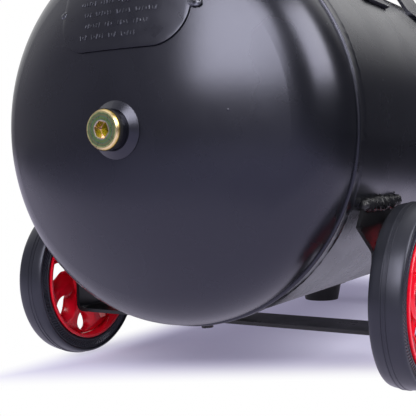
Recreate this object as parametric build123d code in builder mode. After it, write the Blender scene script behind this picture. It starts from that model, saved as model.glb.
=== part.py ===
from build123d import *
from math import asin, cos, degrees, radians, sin, sqrt
import os

os.makedirs("parts", exist_ok=True)

# A horizontal air receiver on two wheels and two feet, with an oil-free twin-cylinder
# pump on its back.  Millimetres.  +X runs along the tank from the wheels to the handle,
# +Z is up, and the origin is on the floor below the middle of the tank.

# Clearances
fit_gap = 0.1          # between curved faces of pieces that don't move apart
running_gap = 0.05     # shafts and pins in their holes
free_gap = 0.3         # between pieces that move past each other

# Tank
ground_clearance_z = 51.6
shell_length = 532.0
shell_radius = 151.0
tank_wall = 2.5
head_step_height = 1.0
crown_radius = 275.0
knuckle_radius = 50.0
head_skirt = 5.5
lip_length = 14.0
bead_start = 0.8
bead_width = 9.7
bead_height = 1.6

# Inspection boss and its hexagon-socket plug, one on each head
boss_radius = 20.5
boss_edge = 0.5
boss_rise = 3.75
boss_height = 10.1
neck_radius = 13.2
boss_top_radius = 14.8
thread_radius = 10.4
head_hole_radius = 12.5
seal_radius = 14.6
seal_thickness = 2.5
flange_radius = 14.0
flange_thickness = 2.9
flange_chamfer = 1.3
flange_land = 2.0
socket_flats = 11.0
socket_depth = 7.0
socket_rim_radius = 6.7
thread_length = 16.0

# Data plate on the rear head
plate_width = 111.0
plate_height = 70.0
plate_corner = 26.0
plate_rise_height = 91.0
plate_thickness = 1.5
ear_width = 8.5
ear_height = 9.0
ear_drop = 7.0
plate_shift = 2.0

# Wheels
wheel_radius = 73.0
tyre_width = 25.9
wheel_gap_width = 8.2
axle_from_seam = 75.3
rim_radius = 59.0
rim_well_radius = 56.5
rim_wall = 2.5
rim_flange = 2.4
rim_proud = 0.8
hub_radius = 16.0
hub_end_depth = 16.0
web_thickness = 7.0
web_face_depth = 15.5
web_dish = 4.0
window_count = 8
window_start = 149.0       # degrees round the axle
window_circle_radius = 41.0
window_length = 19.0
window_width = 18.0
window_corner_radius = 6.0
tyre_shoulder = 2.0
side_step = 0.8
side_step_radius = 66.5
tread_groove = 0.9
tread_groove_depth = 0.5
tread_groove_spacing = 3.4

# Axle bracket: one strip bent to a U below the tank, with flared arms
strip_thickness = 3.0
strip_gap_height = 2.7
strip_start = 42.5
strip_width = 41.5
strip_bend = 3.0
arm_inset_depth = 6.0
arm_flare_depth = 93.5     # these three are below the tank's axis
fold_depth = 72.5
lip_top_depth = 57.5
arm_back_height = 48.7
strip_back_height = 8.0
fold_start = 12.0
fold_length = 100.0
lip_start = 29.0
lip_end = 96.0
lip_bead_radius = 4.5

# Axle fasteners
bolt_radius = 6.0
bolt_head_flats = 19.0
bolt_head_height = 6.2
washer_radius = 12.0
washer_thickness = 1.6
nut_height = 9.0
thread_end = 4.0

# Front foot bracket and feet
foot_from_seam = 76.0
foot_y = 86.0
foot_radius = 21.4
foot_top_radius = 25.0
foot_height = 19.0
foot_recess_radius = 8.0
foot_recess = 6.0
foot_strip_width = 44.0
foot_strip_end = 112.0
foot_slope_y = 62.0
foot_land_y = 20.0
foot_screw_radius = 4.0
foot_nut_flats = 13.0
foot_nut_height = 6.5
foot_head_height = 4.0

# Drain valve at the bottom of the shell
drain_from_seam = 35.5
drain_hole_radius = 5.0
drain_body_flats = 11.0
drain_body_height = 4.5
drain_screw_radius = 3.0
drain_knob_radius = 5.0
drain_knob_height = 3.7
drain_lever = 6.0

# Pump saddles, rubber dampers and their studs
pump_x = -47.5
saddle_spacing = 133.5
saddle_width = 57.0
saddle_rise_height = 22.0
saddle_half_top = 60.0
saddle_bend = 6.0
saddle_flange_angle = 42.0
saddle_flange = 16.0
saddle_corner = 10.0
damper_spacing = 144.0
damper_y = 45.0
damper_radius = 12.0
damper_waist = 10.0
damper_height = 18.0
stud_radius = 3.0
stud_nut_flats = 10.0
stud_nut_height = 5.0
stud_end = 3.0

# Motor
motor_drop = 60.0      # from the shaft down to the foot face
stator_radius = 58.0
stator_bore = 32.0
stator_half = 35.0
winding_radius = 49.0
winding_bore = 34.0
winding_reach = 12.0
shaft_radius = 8.5
shaft_half = 118.0
bearing_radius = 20.0
bearing_width = 12.0
rotor_air_gap = 0.6

# Crankcases
bell_radius = 60.0
bell_bore = 50.0
bell_depth = 17.0
chamber_radius = 46.0
chamber_bore = 38.0
chamber_end = 96.0
cylinder_offset = 80.0
neck_half_width = 30.0
neck_end = 92.5
neck_base_height = 30.0
rod_opening_length = 20.0
rod_opening_width = 44.0
deck_size = 64.0
deck_corner = 6.0
deck_height = 54.0
deck_thickness = 10.0
pad_size = 30.0
pad_thickness = 6.0

# Crank, pistons, cylinders and heads
throw_radius = 5.0
eccentric_radius = 16.0
eccentric_width = 14.0
weight_radius = 33.0
weight_gap = 1.5
rod_end_radius = 24.0
rod_end_width = 12.0
rod_shank = 14.0
rod_shank_depth = 10.0
cup_radius = 26.0
piston_seat_height = 90.0
cup_thickness = 8.0
cylinder_bore = 31.5
cylinder_wall = 3.5
cylinder_height = 40.0
head_height = 30.0
head_chamber_radius = 26.0
head_chamber_depth = 9.0
fin_depth = 9.0
fin_slot = 4.0
fin_pitch = 8.0
fin_slots = 5
head_bolt_radius = 2.5
head_bolt_square_width = 54.0
head_bolt_hold_depth = 6.0
head_bolt_cap_radius = 4.2
head_bolt_cap_height = 4.0
filter_radius = 15.0
filter_height = 20.0
filter_stem_radius = 6.0
filter_stem = 5.0

# Fans and their covers
fan_radius = 44.0
fan_hub_radius = 14.0
fan_start = 100.0
fan_width = 14.0
blade_count = 9
blade_thickness = 2.2
blade_pitch = 35.0
cover_radius = 50.0
cover_wall = 2.5
cover_start = 93.0
cover_end = 124.0
grille_count = 16
grille_slot = 4.0
grille_inner = 14.0
grille_outer = 42.0

# Terminal box on the stator
box_length = 60.0
box_width = 56.0
box_height = 38.0
box_corner = 6.0

# Air tubes
tube_radius = 4.0
tube_wall = 1.0
tube_port_y = 15.0
tube_height = 117.0    # above the shaft
tube_reach_y = 68.0
tube_bend = 14.0
small_tube_radius = 2.0
small_tube_bend = 7.0
port_depth = 4.0

# Check valve on the shell
check_x = 92.0
check_flats = 22.0
check_height = 44.0
check_cap_flats = 19.0
check_cap_height = 6.0
check_port_radius = 7.0
check_port_reach = 20.0
check_tube_height = 36.0
small_port_height = 22.0
small_port_radius = 4.5
small_port_reach = 16.0
small_tube_x = 120.0
small_tube_y = -26.0

# Manifold on the shell
manifold_x = 150.0
manifold_radius = 11.0
manifold_flats = 26.0
manifold_hex_start = 24.0
manifold_hex_height = 40.0
port_height = 52.0
nipple_radius = 8.0
shell_port_radius = 7.0

# Pressure switch on top of the manifold
switch_rise_height = 76.0
switch_base_height = 6.0
switch_length = 70.0
switch_width = 60.0
switch_height = 64.0
switch_setback = 10.0
switch_wall = 2.5
switch_corner = 8.0
knob_radius = 14.0
knob_height = 15.0
knob_stem_radius = 5.0
knob_stem_depth = 14.0
gland_radius = 9.0
gland_length = 20.0
gland_bore = 4.5
gland_thread_radius = 6.0
gland_height = 24.0

# Regulator
regulator_x = 196.0
regulator_size = 40.0
regulator_corner = 6.0
bonnet_radius = 15.0
bonnet_height = 6.0
regulator_knob_radius = 17.0
regulator_knob_height = 30.0
regulator_stem_radius = 6.0
knob_flutes = 18
flute_radius = 1.6

# Gauges
gauge_radius = 20.0
gauge_depth = 22.0
gauge_wall = 2.0
gauge_stem_radius = 5.0
gauge_face_y = -54.0
lens_thickness = 1.5
lens_set_back = 0.8
dial_thickness = 1.0
dial_depth = 6.5
pointer_length = 14.0
pointer_tail = 4.0
pointer_width = 1.8
pointer_thickness = 0.8
pointer_hub_radius = 2.4
pointer_pin_radius = 0.8
pointer_lift = 0.8

# Safety valve
safety_flats = 17.0
safety_hex = 16.0
safety_barrel_radius = 7.0
safety_barrel = 12.0
safety_stem_radius = 1.5
safety_stem_in = 7.0
safety_ring_radius = 9.0
safety_wire_radius = 1.2

# Outlet coupler
coupler_flats = 22.0
coupler_hex = 16.0
coupler_barrel_radius = 9.5
coupler_barrel = 30.0
coupler_bore = 5.4
coupler_bore_depth = 22.0
sleeve_radius = 13.0
sleeve_length = 20.0
sleeve_set_back = 2.0

# Handle
handle_radius = 11.0
handle_wall = 1.5
handle_half_width = 100.0
handle_root_from_seam = 61.0
handle_root_depth = 60.0
handle_bar_reach = 66.0
handle_bar_height = 78.0
handle_bend = 42.0
grip_radius = 15.0
grip_length = 120.0

# Places worked out from the sizes above
seam_x = shell_length / 2
shell_inner = shell_radius - tank_wall
head_radius = shell_radius - head_step_height
tank_axis_z = ground_clearance_z + shell_radius
tank_bottom_z = ground_clearance_z
tank_top_z = tank_axis_z + shell_radius
knuckle_angle = asin((head_radius - knuckle_radius) / (crown_radius - knuckle_radius))
head_depth = crown_radius - sqrt(
    (crown_radius - knuckle_radius) ** 2 - (head_radius - knuckle_radius) ** 2
)
apex = -head_skirt - head_depth          # measured from the seam
crown_centre = apex + crown_radius
rear_seam = Plane(origin=(-seam_x, 0, tank_axis_z), x_dir=(1, 0, 0), z_dir=(0, -1, 0))
tank_axis = Axis((0, 0, tank_axis_z), (1, 0, 0))
plate_middle_z = tank_axis_z + plate_rise_height
axle_x = -seam_x + axle_from_seam
axle_z = wheel_radius
arm_outer_y = shell_radius - arm_inset_depth
tyre_inner_face = arm_outer_y + wheel_gap_width
tyre_outer_face = tyre_inner_face + tyre_width
hub_outer_end = tyre_inner_face + hub_end_depth
web_face = tyre_inner_face + web_face_depth
strip_under_z = tank_bottom_z - strip_gap_height - strip_thickness
arm_flare_z = tank_axis_z - arm_flare_depth
fold_z = tank_axis_z - fold_depth
lip_top_z = tank_axis_z - lip_top_depth
arm_inner_y = arm_outer_y - strip_thickness
foot_x = seam_x - foot_from_seam
drain_x = -seam_x + drain_from_seam
saddle_top_z = tank_top_z + saddle_rise_height
damper_top_z = saddle_top_z + damper_height
motor_z = damper_top_z + motor_drop
deck_top = deck_height + deck_thickness
head_bottom_z = motor_z + deck_top + cylinder_height
head_top_z = head_bottom_z + head_height
check_tube_z = tank_top_z + check_tube_height
small_port_z = tank_top_z + small_port_height
port_z = tank_top_z + port_height
switch_z = tank_top_z + switch_rise_height
gland_z = switch_z + gland_height
handle_root_x = seam_x - handle_root_from_seam
handle_bar_x = seam_x + handle_bar_reach
handle_root_z = tank_top_z - handle_root_depth
handle_bar_z = tank_top_z + handle_bar_height


def dish_arcs(offset, outer_radius):
    """Crown and knuckle arcs of a head, moved out by an offset, up to outer_radius."""
    turn = degrees(knuckle_angle)
    knuckle = CenterArc(
        (-head_skirt, outer_radius), knuckle_radius + offset, 90, 90 - turn
    )
    crown = CenterArc((crown_centre, 0), crown_radius + offset, 180 - turn, turn)
    return knuckle, crown


def dish_section(outer, inner, end_outer, end_inner):
    """Closed half section of a dished sheet between two offsets, from apex to skirt."""
    centre = head_radius - knuckle_radius
    with BuildSketch(rear_seam) as dish:
        with BuildLine():
            dish_arcs(outer, centre)
            dish_arcs(inner, centre)
            Polyline(
                (-head_skirt, head_radius + outer),
                (end_outer, head_radius + outer),
                (end_inner, head_radius + inner),
                (-head_skirt, head_radius + inner),
            )
            Line((apex - outer, 0), (apex - inner, 0))
        make_face()
    return dish.sketch


# Tank

with BuildPart() as tank_shell:
    with BuildSketch(Plane.YZ.offset(-seam_x)):
        with Locations((0, tank_axis_z)):
            Circle(shell_radius)
            Circle(shell_inner, mode=Mode.SUBTRACT)
    extrude(amount=shell_length)
    with Locations((drain_x, 0, tank_bottom_z)):
        Cylinder(drain_hole_radius, 4 * tank_wall, mode=Mode.SUBTRACT)
    with Locations((check_x, 0, tank_top_z), (manifold_x, 0, tank_top_z)):
        Cylinder(shell_port_radius, 4 * tank_wall, mode=Mode.SUBTRACT)

with BuildPart() as rear_head:
    revolve(dish_section(0, -tank_wall, 0, 0), axis=tank_axis)
    with BuildSketch(Plane.YZ.offset(-seam_x - head_skirt / 2)):
        with Locations((0, tank_axis_z)):
            Circle(shell_inner - fit_gap)
            Circle(shell_inner - fit_gap - tank_wall, mode=Mode.SUBTRACT)
    extrude(amount=lip_length + head_skirt / 2)
    with Locations(Location((-seam_x + apex, 0, tank_axis_z), (0, 90, 0))):
        Cylinder(head_hole_radius, 8 * tank_wall, mode=Mode.SUBTRACT)

with BuildPart() as front_head:
    add(mirror(rear_head.part, about=Plane.YZ))

with BuildPart() as inspection_bosses:
    with BuildSketch(rear_seam) as boss:
        dish = crown_radius + fit_gap
        rim_x = crown_centre - sqrt(dish**2 - boss_radius**2)
        bore_x = crown_centre - sqrt(dish**2 - head_hole_radius**2)
        with BuildLine():
            start = degrees(asin(boss_radius / dish))
            end = degrees(asin(head_hole_radius / dish))
            CenterArc((crown_centre, 0), dish, 180 - start, start - end)
            Polyline(
                (rim_x, boss_radius),
                (rim_x - boss_edge, boss_radius),
                (apex - boss_rise, boss_top_radius),
                (apex - boss_rise, neck_radius),
                (apex - boss_height, neck_radius),
                (apex - boss_height, thread_radius + fit_gap),
                (bore_x, thread_radius + fit_gap),
                (bore_x, head_hole_radius),
            )
        make_face()
    revolve(axis=tank_axis)
    mirror(about=Plane.YZ)

with BuildPart() as plug_seals:
    with BuildSketch(Plane.YZ.offset(-seam_x + apex - boss_height)):
        with Locations((0, tank_axis_z)):
            Circle(seal_radius)
            Circle(thread_radius + fit_gap, mode=Mode.SUBTRACT)
    extrude(amount=-seal_thickness)
    mirror(about=Plane.YZ)

with BuildPart() as inspection_plugs:
    seat_x = -seam_x + apex - boss_height - seal_thickness
    with BuildSketch(Plane.YZ.offset(seat_x)):
        with Locations((0, tank_axis_z)):
            Circle(flange_radius)
    extrude(amount=-flange_thickness)
    chamfer(edges().group_by(Axis.X)[0], length=flange_land, length2=flange_chamfer)
    with BuildSketch(Plane.YZ.offset(seat_x)):
        with Locations((0, tank_axis_z)):
            Circle(thread_radius)
    extrude(amount=thread_length)
    with BuildSketch(Plane.YZ.offset(seat_x - flange_thickness)):
        with Locations((0, tank_axis_z)):
            RegularPolygon(socket_flats / 2, 6, major_radius=False, rotation=12)
    extrude(amount=socket_depth, mode=Mode.SUBTRACT)
    socket_rim = socket_rim_radius - socket_flats / 2
    with BuildSketch(rear_seam):
        with BuildLine():
            face_x = seat_x - flange_thickness + seam_x
            Polyline((face_x, 0), (face_x, socket_rim_radius), (face_x + socket_rim, 0), close=True)
        make_face()
    revolve(axis=tank_axis, mode=Mode.SUBTRACT)
    mirror(about=Plane.YZ)

with BuildPart() as weld_beads:
    with BuildSketch(rear_seam):
        base = shell_radius + fit_gap
        with BuildLine():
            Line((bead_start, base), (bead_start + bead_width, base))
            ThreePointArc(
                (bead_start, base),
                (bead_start + bead_width / 2, base + bead_height),
                (bead_start + bead_width, base),
            )
        make_face()
    revolve(axis=tank_axis)
    mirror(about=Plane.YZ)

with BuildPart() as data_plate:
    revolve(dish_section(fit_gap + plate_thickness, fit_gap, -1, -1), axis=tank_axis)
    with BuildSketch(Plane.YZ.offset(-seam_x + 2 * apex)):
        with Locations((plate_shift, plate_middle_z)):
            RectangleRounded(plate_width, plate_height, plate_corner)
        with Locations((plate_shift, plate_middle_z - ear_drop)):
            RectangleRounded(plate_width + 2 * ear_width, ear_height, ear_height / 3)
    extrude(amount=-2 * apex, mode=Mode.INTERSECT)

# Wheels


def wheel_section(side):
    """Plane through the axle: local x runs outwards along Y, local y upwards."""
    return Plane(origin=(axle_x, 0, axle_z), x_dir=(0, side, 0), z_dir=(side, 0, 0))


wheel_axis = Axis((axle_x, 0, axle_z), (0, 1, 0))
rim_inner_face = tyre_inner_face - rim_proud
rim_outer_face = tyre_outer_face + rim_proud
hub_inner_end = arm_outer_y + washer_thickness + free_gap


def make_rim(side):
    """Barrel with two flanges, a web with windows, and a hub."""
    with BuildPart() as rim:
        with BuildSketch(wheel_section(side)):
            with BuildLine():
                Polyline(
                    (rim_inner_face, rim_well_radius - rim_wall),
                    (rim_inner_face, rim_radius),
                    (rim_inner_face + rim_flange, rim_radius),
                    (rim_inner_face + rim_flange, rim_well_radius),
                    (rim_outer_face - rim_flange, rim_well_radius),
                    (rim_outer_face - rim_flange, rim_radius),
                    (rim_outer_face, rim_radius),
                    (rim_outer_face, rim_well_radius - rim_wall),
                    (web_face, rim_well_radius - rim_wall),
                    (web_face - web_dish, hub_radius),
                    (hub_outer_end, hub_radius),
                    (hub_outer_end, bolt_radius + running_gap),
                    (hub_inner_end, bolt_radius + running_gap),
                    (hub_inner_end, hub_radius),
                    (web_face - web_dish - web_thickness, hub_radius),
                    (web_face - web_thickness, rim_well_radius - rim_wall),
                    close=True,
                )
            make_face()
        revolve(axis=wheel_axis)
        with BuildSketch(Plane(wheel_section(side).origin, x_dir=(1, 0, 0), z_dir=(0, side, 0))):
            with PolarLocations(window_circle_radius, window_count, start_angle=window_start):
                RectangleRounded(window_length, window_width, window_corner_radius)
        extrude(amount=tyre_outer_face, mode=Mode.SUBTRACT)
    return rim


def make_tyre(side):
    """Solid rubber tyre held between the rim's flanges."""
    seat = rim_well_radius + fit_gap
    lap = rim_radius + fit_gap
    inside = rim_inner_face + rim_flange + fit_gap
    outside = rim_outer_face - rim_flange - fit_gap
    middle = tyre_inner_face + tyre_width / 2
    with BuildPart() as tyre:
        with BuildSketch(wheel_section(side)):
            with BuildLine():
                Polyline(
                    (inside, seat),
                    (outside, seat),
                    (outside, lap),
                    (tyre_outer_face - side_step, lap),
                    (tyre_outer_face - side_step, side_step_radius),
                    (tyre_outer_face, side_step_radius + side_step),
                    (tyre_outer_face, wheel_radius),
                    (tyre_inner_face, wheel_radius),
                    (tyre_inner_face, side_step_radius + side_step),
                    (tyre_inner_face + side_step, side_step_radius),
                    (tyre_inner_face + side_step, lap),
                    (inside, lap),
                    close=True,
                )
            make_face()
            shoulder = vertices().group_by(Axis.Y)[-1]
            fillet(shoulder, radius=tyre_shoulder)
            with Locations(
                (middle - tread_groove_spacing / 2, wheel_radius),
                (middle + tread_groove_spacing / 2, wheel_radius),
            ):
                Rectangle(tread_groove, 2 * tread_groove_depth, mode=Mode.SUBTRACT)
        revolve(axis=wheel_axis)
    return tyre


wheel_rim_left = make_rim(1)
wheel_rim_right = make_rim(-1)
tyre_left = make_tyre(1)
tyre_right = make_tyre(-1)

# Axle bracket and axles

lip_inner_y = sqrt(shell_radius**2 - (tank_axis_z - lip_top_z) ** 2) + fit_gap
strip_x = -seam_x + strip_start
bolt_seat_y = hub_outer_end + free_gap + washer_thickness

with BuildPart() as axle_bracket:
    with BuildSketch(Plane.YZ.offset(-seam_x + fold_start)):
        with BuildLine():
            FilletPolyline(
                (-arm_outer_y, fold_z),
                (-arm_outer_y, strip_under_z),
                (arm_outer_y, strip_under_z),
                (arm_outer_y, fold_z),
                radius=strip_bend + strip_thickness,
            )
            FilletPolyline(
                (-arm_inner_y, fold_z),
                (-arm_inner_y, strip_under_z + strip_thickness),
                (arm_inner_y, strip_under_z + strip_thickness),
                (arm_inner_y, fold_z),
                radius=strip_bend,
            )
            for side in (-1, 1):
                Polyline(
                    (side * arm_outer_y, fold_z),
                    (side * (lip_inner_y + strip_thickness), lip_top_z),
                    (side * lip_inner_y, lip_top_z),
                    (side * arm_inner_y, fold_z),
                )
        make_face()
    extrude(amount=fold_length)
    with BuildSketch(Plane.XZ.offset(-tyre_inner_face)):
        with BuildLine():
            Polyline(
                (strip_x, strip_under_z),
                (strip_x, arm_flare_z),
                (-seam_x + fold_start, fold_z),
                (-seam_x + lip_start, lip_top_z),
                (-seam_x + lip_end, lip_top_z),
                (-seam_x + fold_start + fold_length, fold_z),
                (-seam_x + fold_start + fold_length, strip_under_z + arm_back_height),
                (strip_x + strip_width, strip_under_z + strip_back_height),
                (strip_x + strip_width, strip_under_z),
                close=True,
            )
        make_face()
    extrude(amount=2 * tyre_inner_face, mode=Mode.INTERSECT)
    with BuildSketch(Plane.XZ.offset(-tyre_inner_face)):
        with Locations((axle_x, axle_z)):
            Circle(bolt_radius + fit_gap)
    extrude(amount=2 * tyre_inner_face, mode=Mode.SUBTRACT)
    with BuildSketch(Plane.YZ.offset(-seam_x + lip_start)):
        for side in (-1, 1):
            with Locations((side * (lip_inner_y + strip_thickness / 2), lip_top_z)):
                Circle(lip_bead_radius)
        with Locations((0, tank_axis_z)):
            Circle(shell_radius + fit_gap, mode=Mode.SUBTRACT)
    extrude(amount=lip_end - lip_start)


def side_plane(y):
    """Plane facing -Y or +Y, whichever points away from the middle, through the axle."""
    return Plane(origin=(axle_x, y, axle_z), x_dir=(1, 0, 0), z_dir=(0, 1 if y > 0 else -1, 0))


with BuildPart() as axle_bolts:
    with BuildSketch(side_plane(bolt_seat_y)):
        RegularPolygon(bolt_head_flats / 2, 6, major_radius=False)
    extrude(amount=bolt_head_height)
    chamfer(edges().group_by(Axis.Y)[-1], length=0.8)
    with BuildSketch(side_plane(bolt_seat_y)):
        Circle(bolt_radius)
    extrude(amount=-(bolt_seat_y - arm_inner_y + nut_height + thread_end))
    mirror(about=Plane.XZ)

with BuildPart() as axle_washers:
    for face_y in (arm_outer_y, hub_outer_end + free_gap):
        with BuildSketch(side_plane(face_y)):
            Circle(washer_radius)
            Circle(bolt_radius + fit_gap, mode=Mode.SUBTRACT)
        extrude(amount=washer_thickness)
    mirror(about=Plane.XZ)

with BuildPart() as axle_nuts:
    with BuildSketch(side_plane(arm_inner_y)):
        RegularPolygon(bolt_head_flats / 2, 6, major_radius=False, rotation=15)
        Circle(bolt_radius + fit_gap, mode=Mode.SUBTRACT)
    extrude(amount=-nut_height)
    mirror(about=Plane.XZ)

# Front foot bracket, feet and screws

pad_top_z = foot_height + strip_thickness

with BuildPart() as foot_bracket:
    with BuildSketch(Plane.YZ.offset(foot_x - foot_strip_width / 2)):
        with BuildLine():
            Polyline(
                (-foot_strip_end, foot_height),
                (-foot_slope_y, foot_height),
                (-foot_land_y, tank_bottom_z - fit_gap - strip_thickness),
                (foot_land_y, tank_bottom_z - fit_gap - strip_thickness),
                (foot_slope_y, foot_height),
                (foot_strip_end, foot_height),
            )
            offset(amount=strip_thickness, side=Side.LEFT, kind=Kind.INTERSECTION)
        make_face()
    extrude(amount=foot_strip_width)
    fillet(edges().filter_by(Axis.Z), radius=8)
    with Locations((foot_x, -foot_y, pad_top_z), (foot_x, foot_y, pad_top_z)):
        Hole(foot_screw_radius + fit_gap, depth=2 * strip_thickness)

with BuildPart() as rubber_feet:
    with Locations((foot_x, -foot_y, foot_height / 2), (foot_x, foot_y, foot_height / 2)):
        Cone(foot_radius, foot_top_radius, foot_height)
    with BuildSketch(Plane.XY):
        with Locations((foot_x, -foot_y), (foot_x, foot_y)):
            Circle(foot_recess_radius)
    extrude(amount=foot_recess, mode=Mode.SUBTRACT)
    with BuildSketch(Plane.XY):
        with Locations((foot_x, -foot_y), (foot_x, foot_y)):
            Circle(foot_screw_radius + fit_gap)
    extrude(amount=foot_height, mode=Mode.SUBTRACT)

with BuildPart() as foot_screws:
    places = Locations((foot_x, -foot_y), (foot_x, foot_y))
    with BuildSketch(Plane.XY.offset(foot_recess - foot_head_height)):
        with places:
            Circle(foot_recess_radius - 1)
    extrude(amount=foot_head_height)
    with BuildSketch(Plane.XY.offset(foot_recess)):
        with places:
            Circle(foot_screw_radius)
    extrude(amount=pad_top_z + foot_nut_height + 2 - foot_recess)
    with BuildSketch(Plane.XY.offset(pad_top_z)):
        with places:
            RegularPolygon(foot_nut_flats / 2, 6, major_radius=False)
    extrude(amount=foot_nut_height)

# Drain valve

drain_hex_z = tank_bottom_z - fit_gap
drain_knob_top = drain_hex_z - drain_body_height - free_gap

with BuildPart() as drain_valve_body:
    with BuildSketch(Plane.XY.offset(drain_hex_z)):
        with Locations((drain_x, 0)):
            RegularPolygon(drain_body_flats / 2, 6, major_radius=False, rotation=30)
    extrude(amount=-drain_body_height)
    with BuildSketch(Plane.XY.offset(drain_hex_z)):
        with Locations((drain_x, 0)):
            Circle(drain_hole_radius - fit_gap)
    extrude(amount=3 * tank_wall)
    with BuildSketch(Plane.XY.offset(drain_hex_z - drain_body_height)):
        with Locations((drain_x, 0)):
            Circle(drain_screw_radius + running_gap)
    extrude(amount=drain_body_height, mode=Mode.SUBTRACT)

with BuildPart() as drain_screw:
    with BuildSketch(Plane.XY.offset(drain_knob_top)):
        with Locations((drain_x, 0)):
            Circle(drain_knob_radius)
            Rectangle(2 * drain_lever, strip_thickness)
    extrude(amount=-drain_knob_height)
    with BuildSketch(Plane.XY.offset(drain_knob_top)):
        with Locations((drain_x, 0)):
            Circle(drain_screw_radius)
    extrude(amount=drain_body_height)

# Pump saddles, dampers and studs

flange_turn = radians(saddle_flange_angle)
flange_y = (shell_radius + fit_gap) * sin(flange_turn)
flange_z = tank_axis_z + (shell_radius + fit_gap) * cos(flange_turn)
flange_dy = saddle_flange / 2 * cos(flange_turn)
flange_dz = saddle_flange / 2 * sin(flange_turn)
saddle_middle_x = pump_x + saddle_spacing / 2
pump_middle = Plane.YZ.offset(pump_x)

with BuildPart() as pump_saddles:
    with BuildSketch(Plane.YZ.offset(saddle_middle_x - saddle_width / 2)):
        with BuildLine():
            FilletPolyline(
                (-flange_y - flange_dy, flange_z - flange_dz),
                (-flange_y + flange_dy, flange_z + flange_dz),
                (-saddle_half_top, saddle_top_z - strip_thickness),
                (saddle_half_top, saddle_top_z - strip_thickness),
                (flange_y - flange_dy, flange_z + flange_dz),
                (flange_y + flange_dy, flange_z - flange_dz),
                radius=saddle_bend,
            )
            offset(amount=strip_thickness, side=Side.LEFT, kind=Kind.INTERSECTION)
        make_face()
    extrude(amount=saddle_width)
    with BuildSketch(Plane.XZ.offset(-shell_radius)):
        saddle_bottom_z = flange_z - flange_dz
        with Locations((saddle_middle_x, (saddle_bottom_z + saddle_top_z) / 2)):
            Rectangle(saddle_width, saddle_top_z - saddle_bottom_z)
        fillet(vertices().group_by(Axis.Y)[0], radius=saddle_corner)
    extrude(amount=2 * shell_radius, mode=Mode.INTERSECT)
    mirror(about=pump_middle)
    with BuildSketch(Plane.XY.offset(saddle_top_z)):
        with Locations((pump_x, 0)):
            with GridLocations(damper_spacing, 2 * damper_y, 2, 2):
                Circle(stud_radius + fit_gap)
    extrude(amount=-2 * strip_thickness, mode=Mode.SUBTRACT)

with BuildPart() as rubber_dampers:
    for z in (saddle_top_z, damper_top_z - damper_height / 3):
        with BuildSketch(Plane.XY.offset(z)):
            with Locations((pump_x, 0)):
                with GridLocations(damper_spacing, 2 * damper_y, 2, 2):
                    Circle(damper_radius)
        extrude(amount=damper_height / 3)
    with BuildSketch(Plane.XY.offset(saddle_top_z)):
        with Locations((pump_x, 0)):
            with GridLocations(damper_spacing, 2 * damper_y, 2, 2):
                Circle(damper_waist)
    extrude(amount=damper_height)
    with BuildSketch(Plane.XY.offset(saddle_top_z)):
        with Locations((pump_x, 0)):
            with GridLocations(damper_spacing, 2 * damper_y, 2, 2):
                Circle(stud_radius + fit_gap)
    extrude(amount=damper_height, mode=Mode.SUBTRACT)

with BuildPart() as damper_bolts:
    lower_nut_z = saddle_top_z - strip_thickness - stud_nut_height
    upper_nut_z = damper_top_z + pad_thickness
    for z in (lower_nut_z, upper_nut_z):
        with BuildSketch(Plane.XY.offset(z)):
            with Locations((pump_x, 0)):
                with GridLocations(damper_spacing, 2 * damper_y, 2, 2):
                    RegularPolygon(stud_nut_flats / 2, 6, major_radius=False)
        extrude(amount=stud_nut_height)
    with BuildSketch(Plane.XY.offset(lower_nut_z - stud_end)):
        with Locations((pump_x, 0)):
            with GridLocations(damper_spacing, 2 * damper_y, 2, 2):
                Circle(stud_radius)
    extrude(amount=upper_nut_z + stud_nut_height - lower_nut_z + 2 * stud_end)

# Motor and pump


def across(distance):
    """Plane across the motor shaft, at a distance in front of the pump's middle."""
    return Plane(origin=(pump_x + distance, 0, motor_z), x_dir=(0, 1, 0), z_dir=(1, 0, 0))


plate_start = stator_half + bell_depth
plate_end = plate_start + bearing_width

with BuildPart() as motor_stator:
    with BuildSketch(across(0)):
        Circle(stator_radius)
        Circle(stator_bore, mode=Mode.SUBTRACT)
    extrude(amount=stator_half, both=True)
    with BuildSketch(across(0)):
        Circle(winding_radius)
        Circle(winding_bore, mode=Mode.SUBTRACT)
    extrude(amount=stator_half + winding_reach, both=True)

with BuildPart() as motor_rotor:
    with BuildSketch(across(0)):
        Circle(stator_bore - rotor_air_gap)
        Circle(shaft_radius + fit_gap, mode=Mode.SUBTRACT)
    extrude(amount=stator_half + winding_reach / 2, both=True)

with BuildPart() as motor_shaft:
    with BuildSketch(across(0)):
        Circle(shaft_radius)
    extrude(amount=shaft_half, both=True)

with BuildPart() as shaft_bearings:
    with BuildSketch(across(plate_start)):
        Circle(bearing_radius)
        Circle(shaft_radius + running_gap, mode=Mode.SUBTRACT)
    extrude(amount=bearing_width)
    mirror(about=pump_middle)

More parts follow.
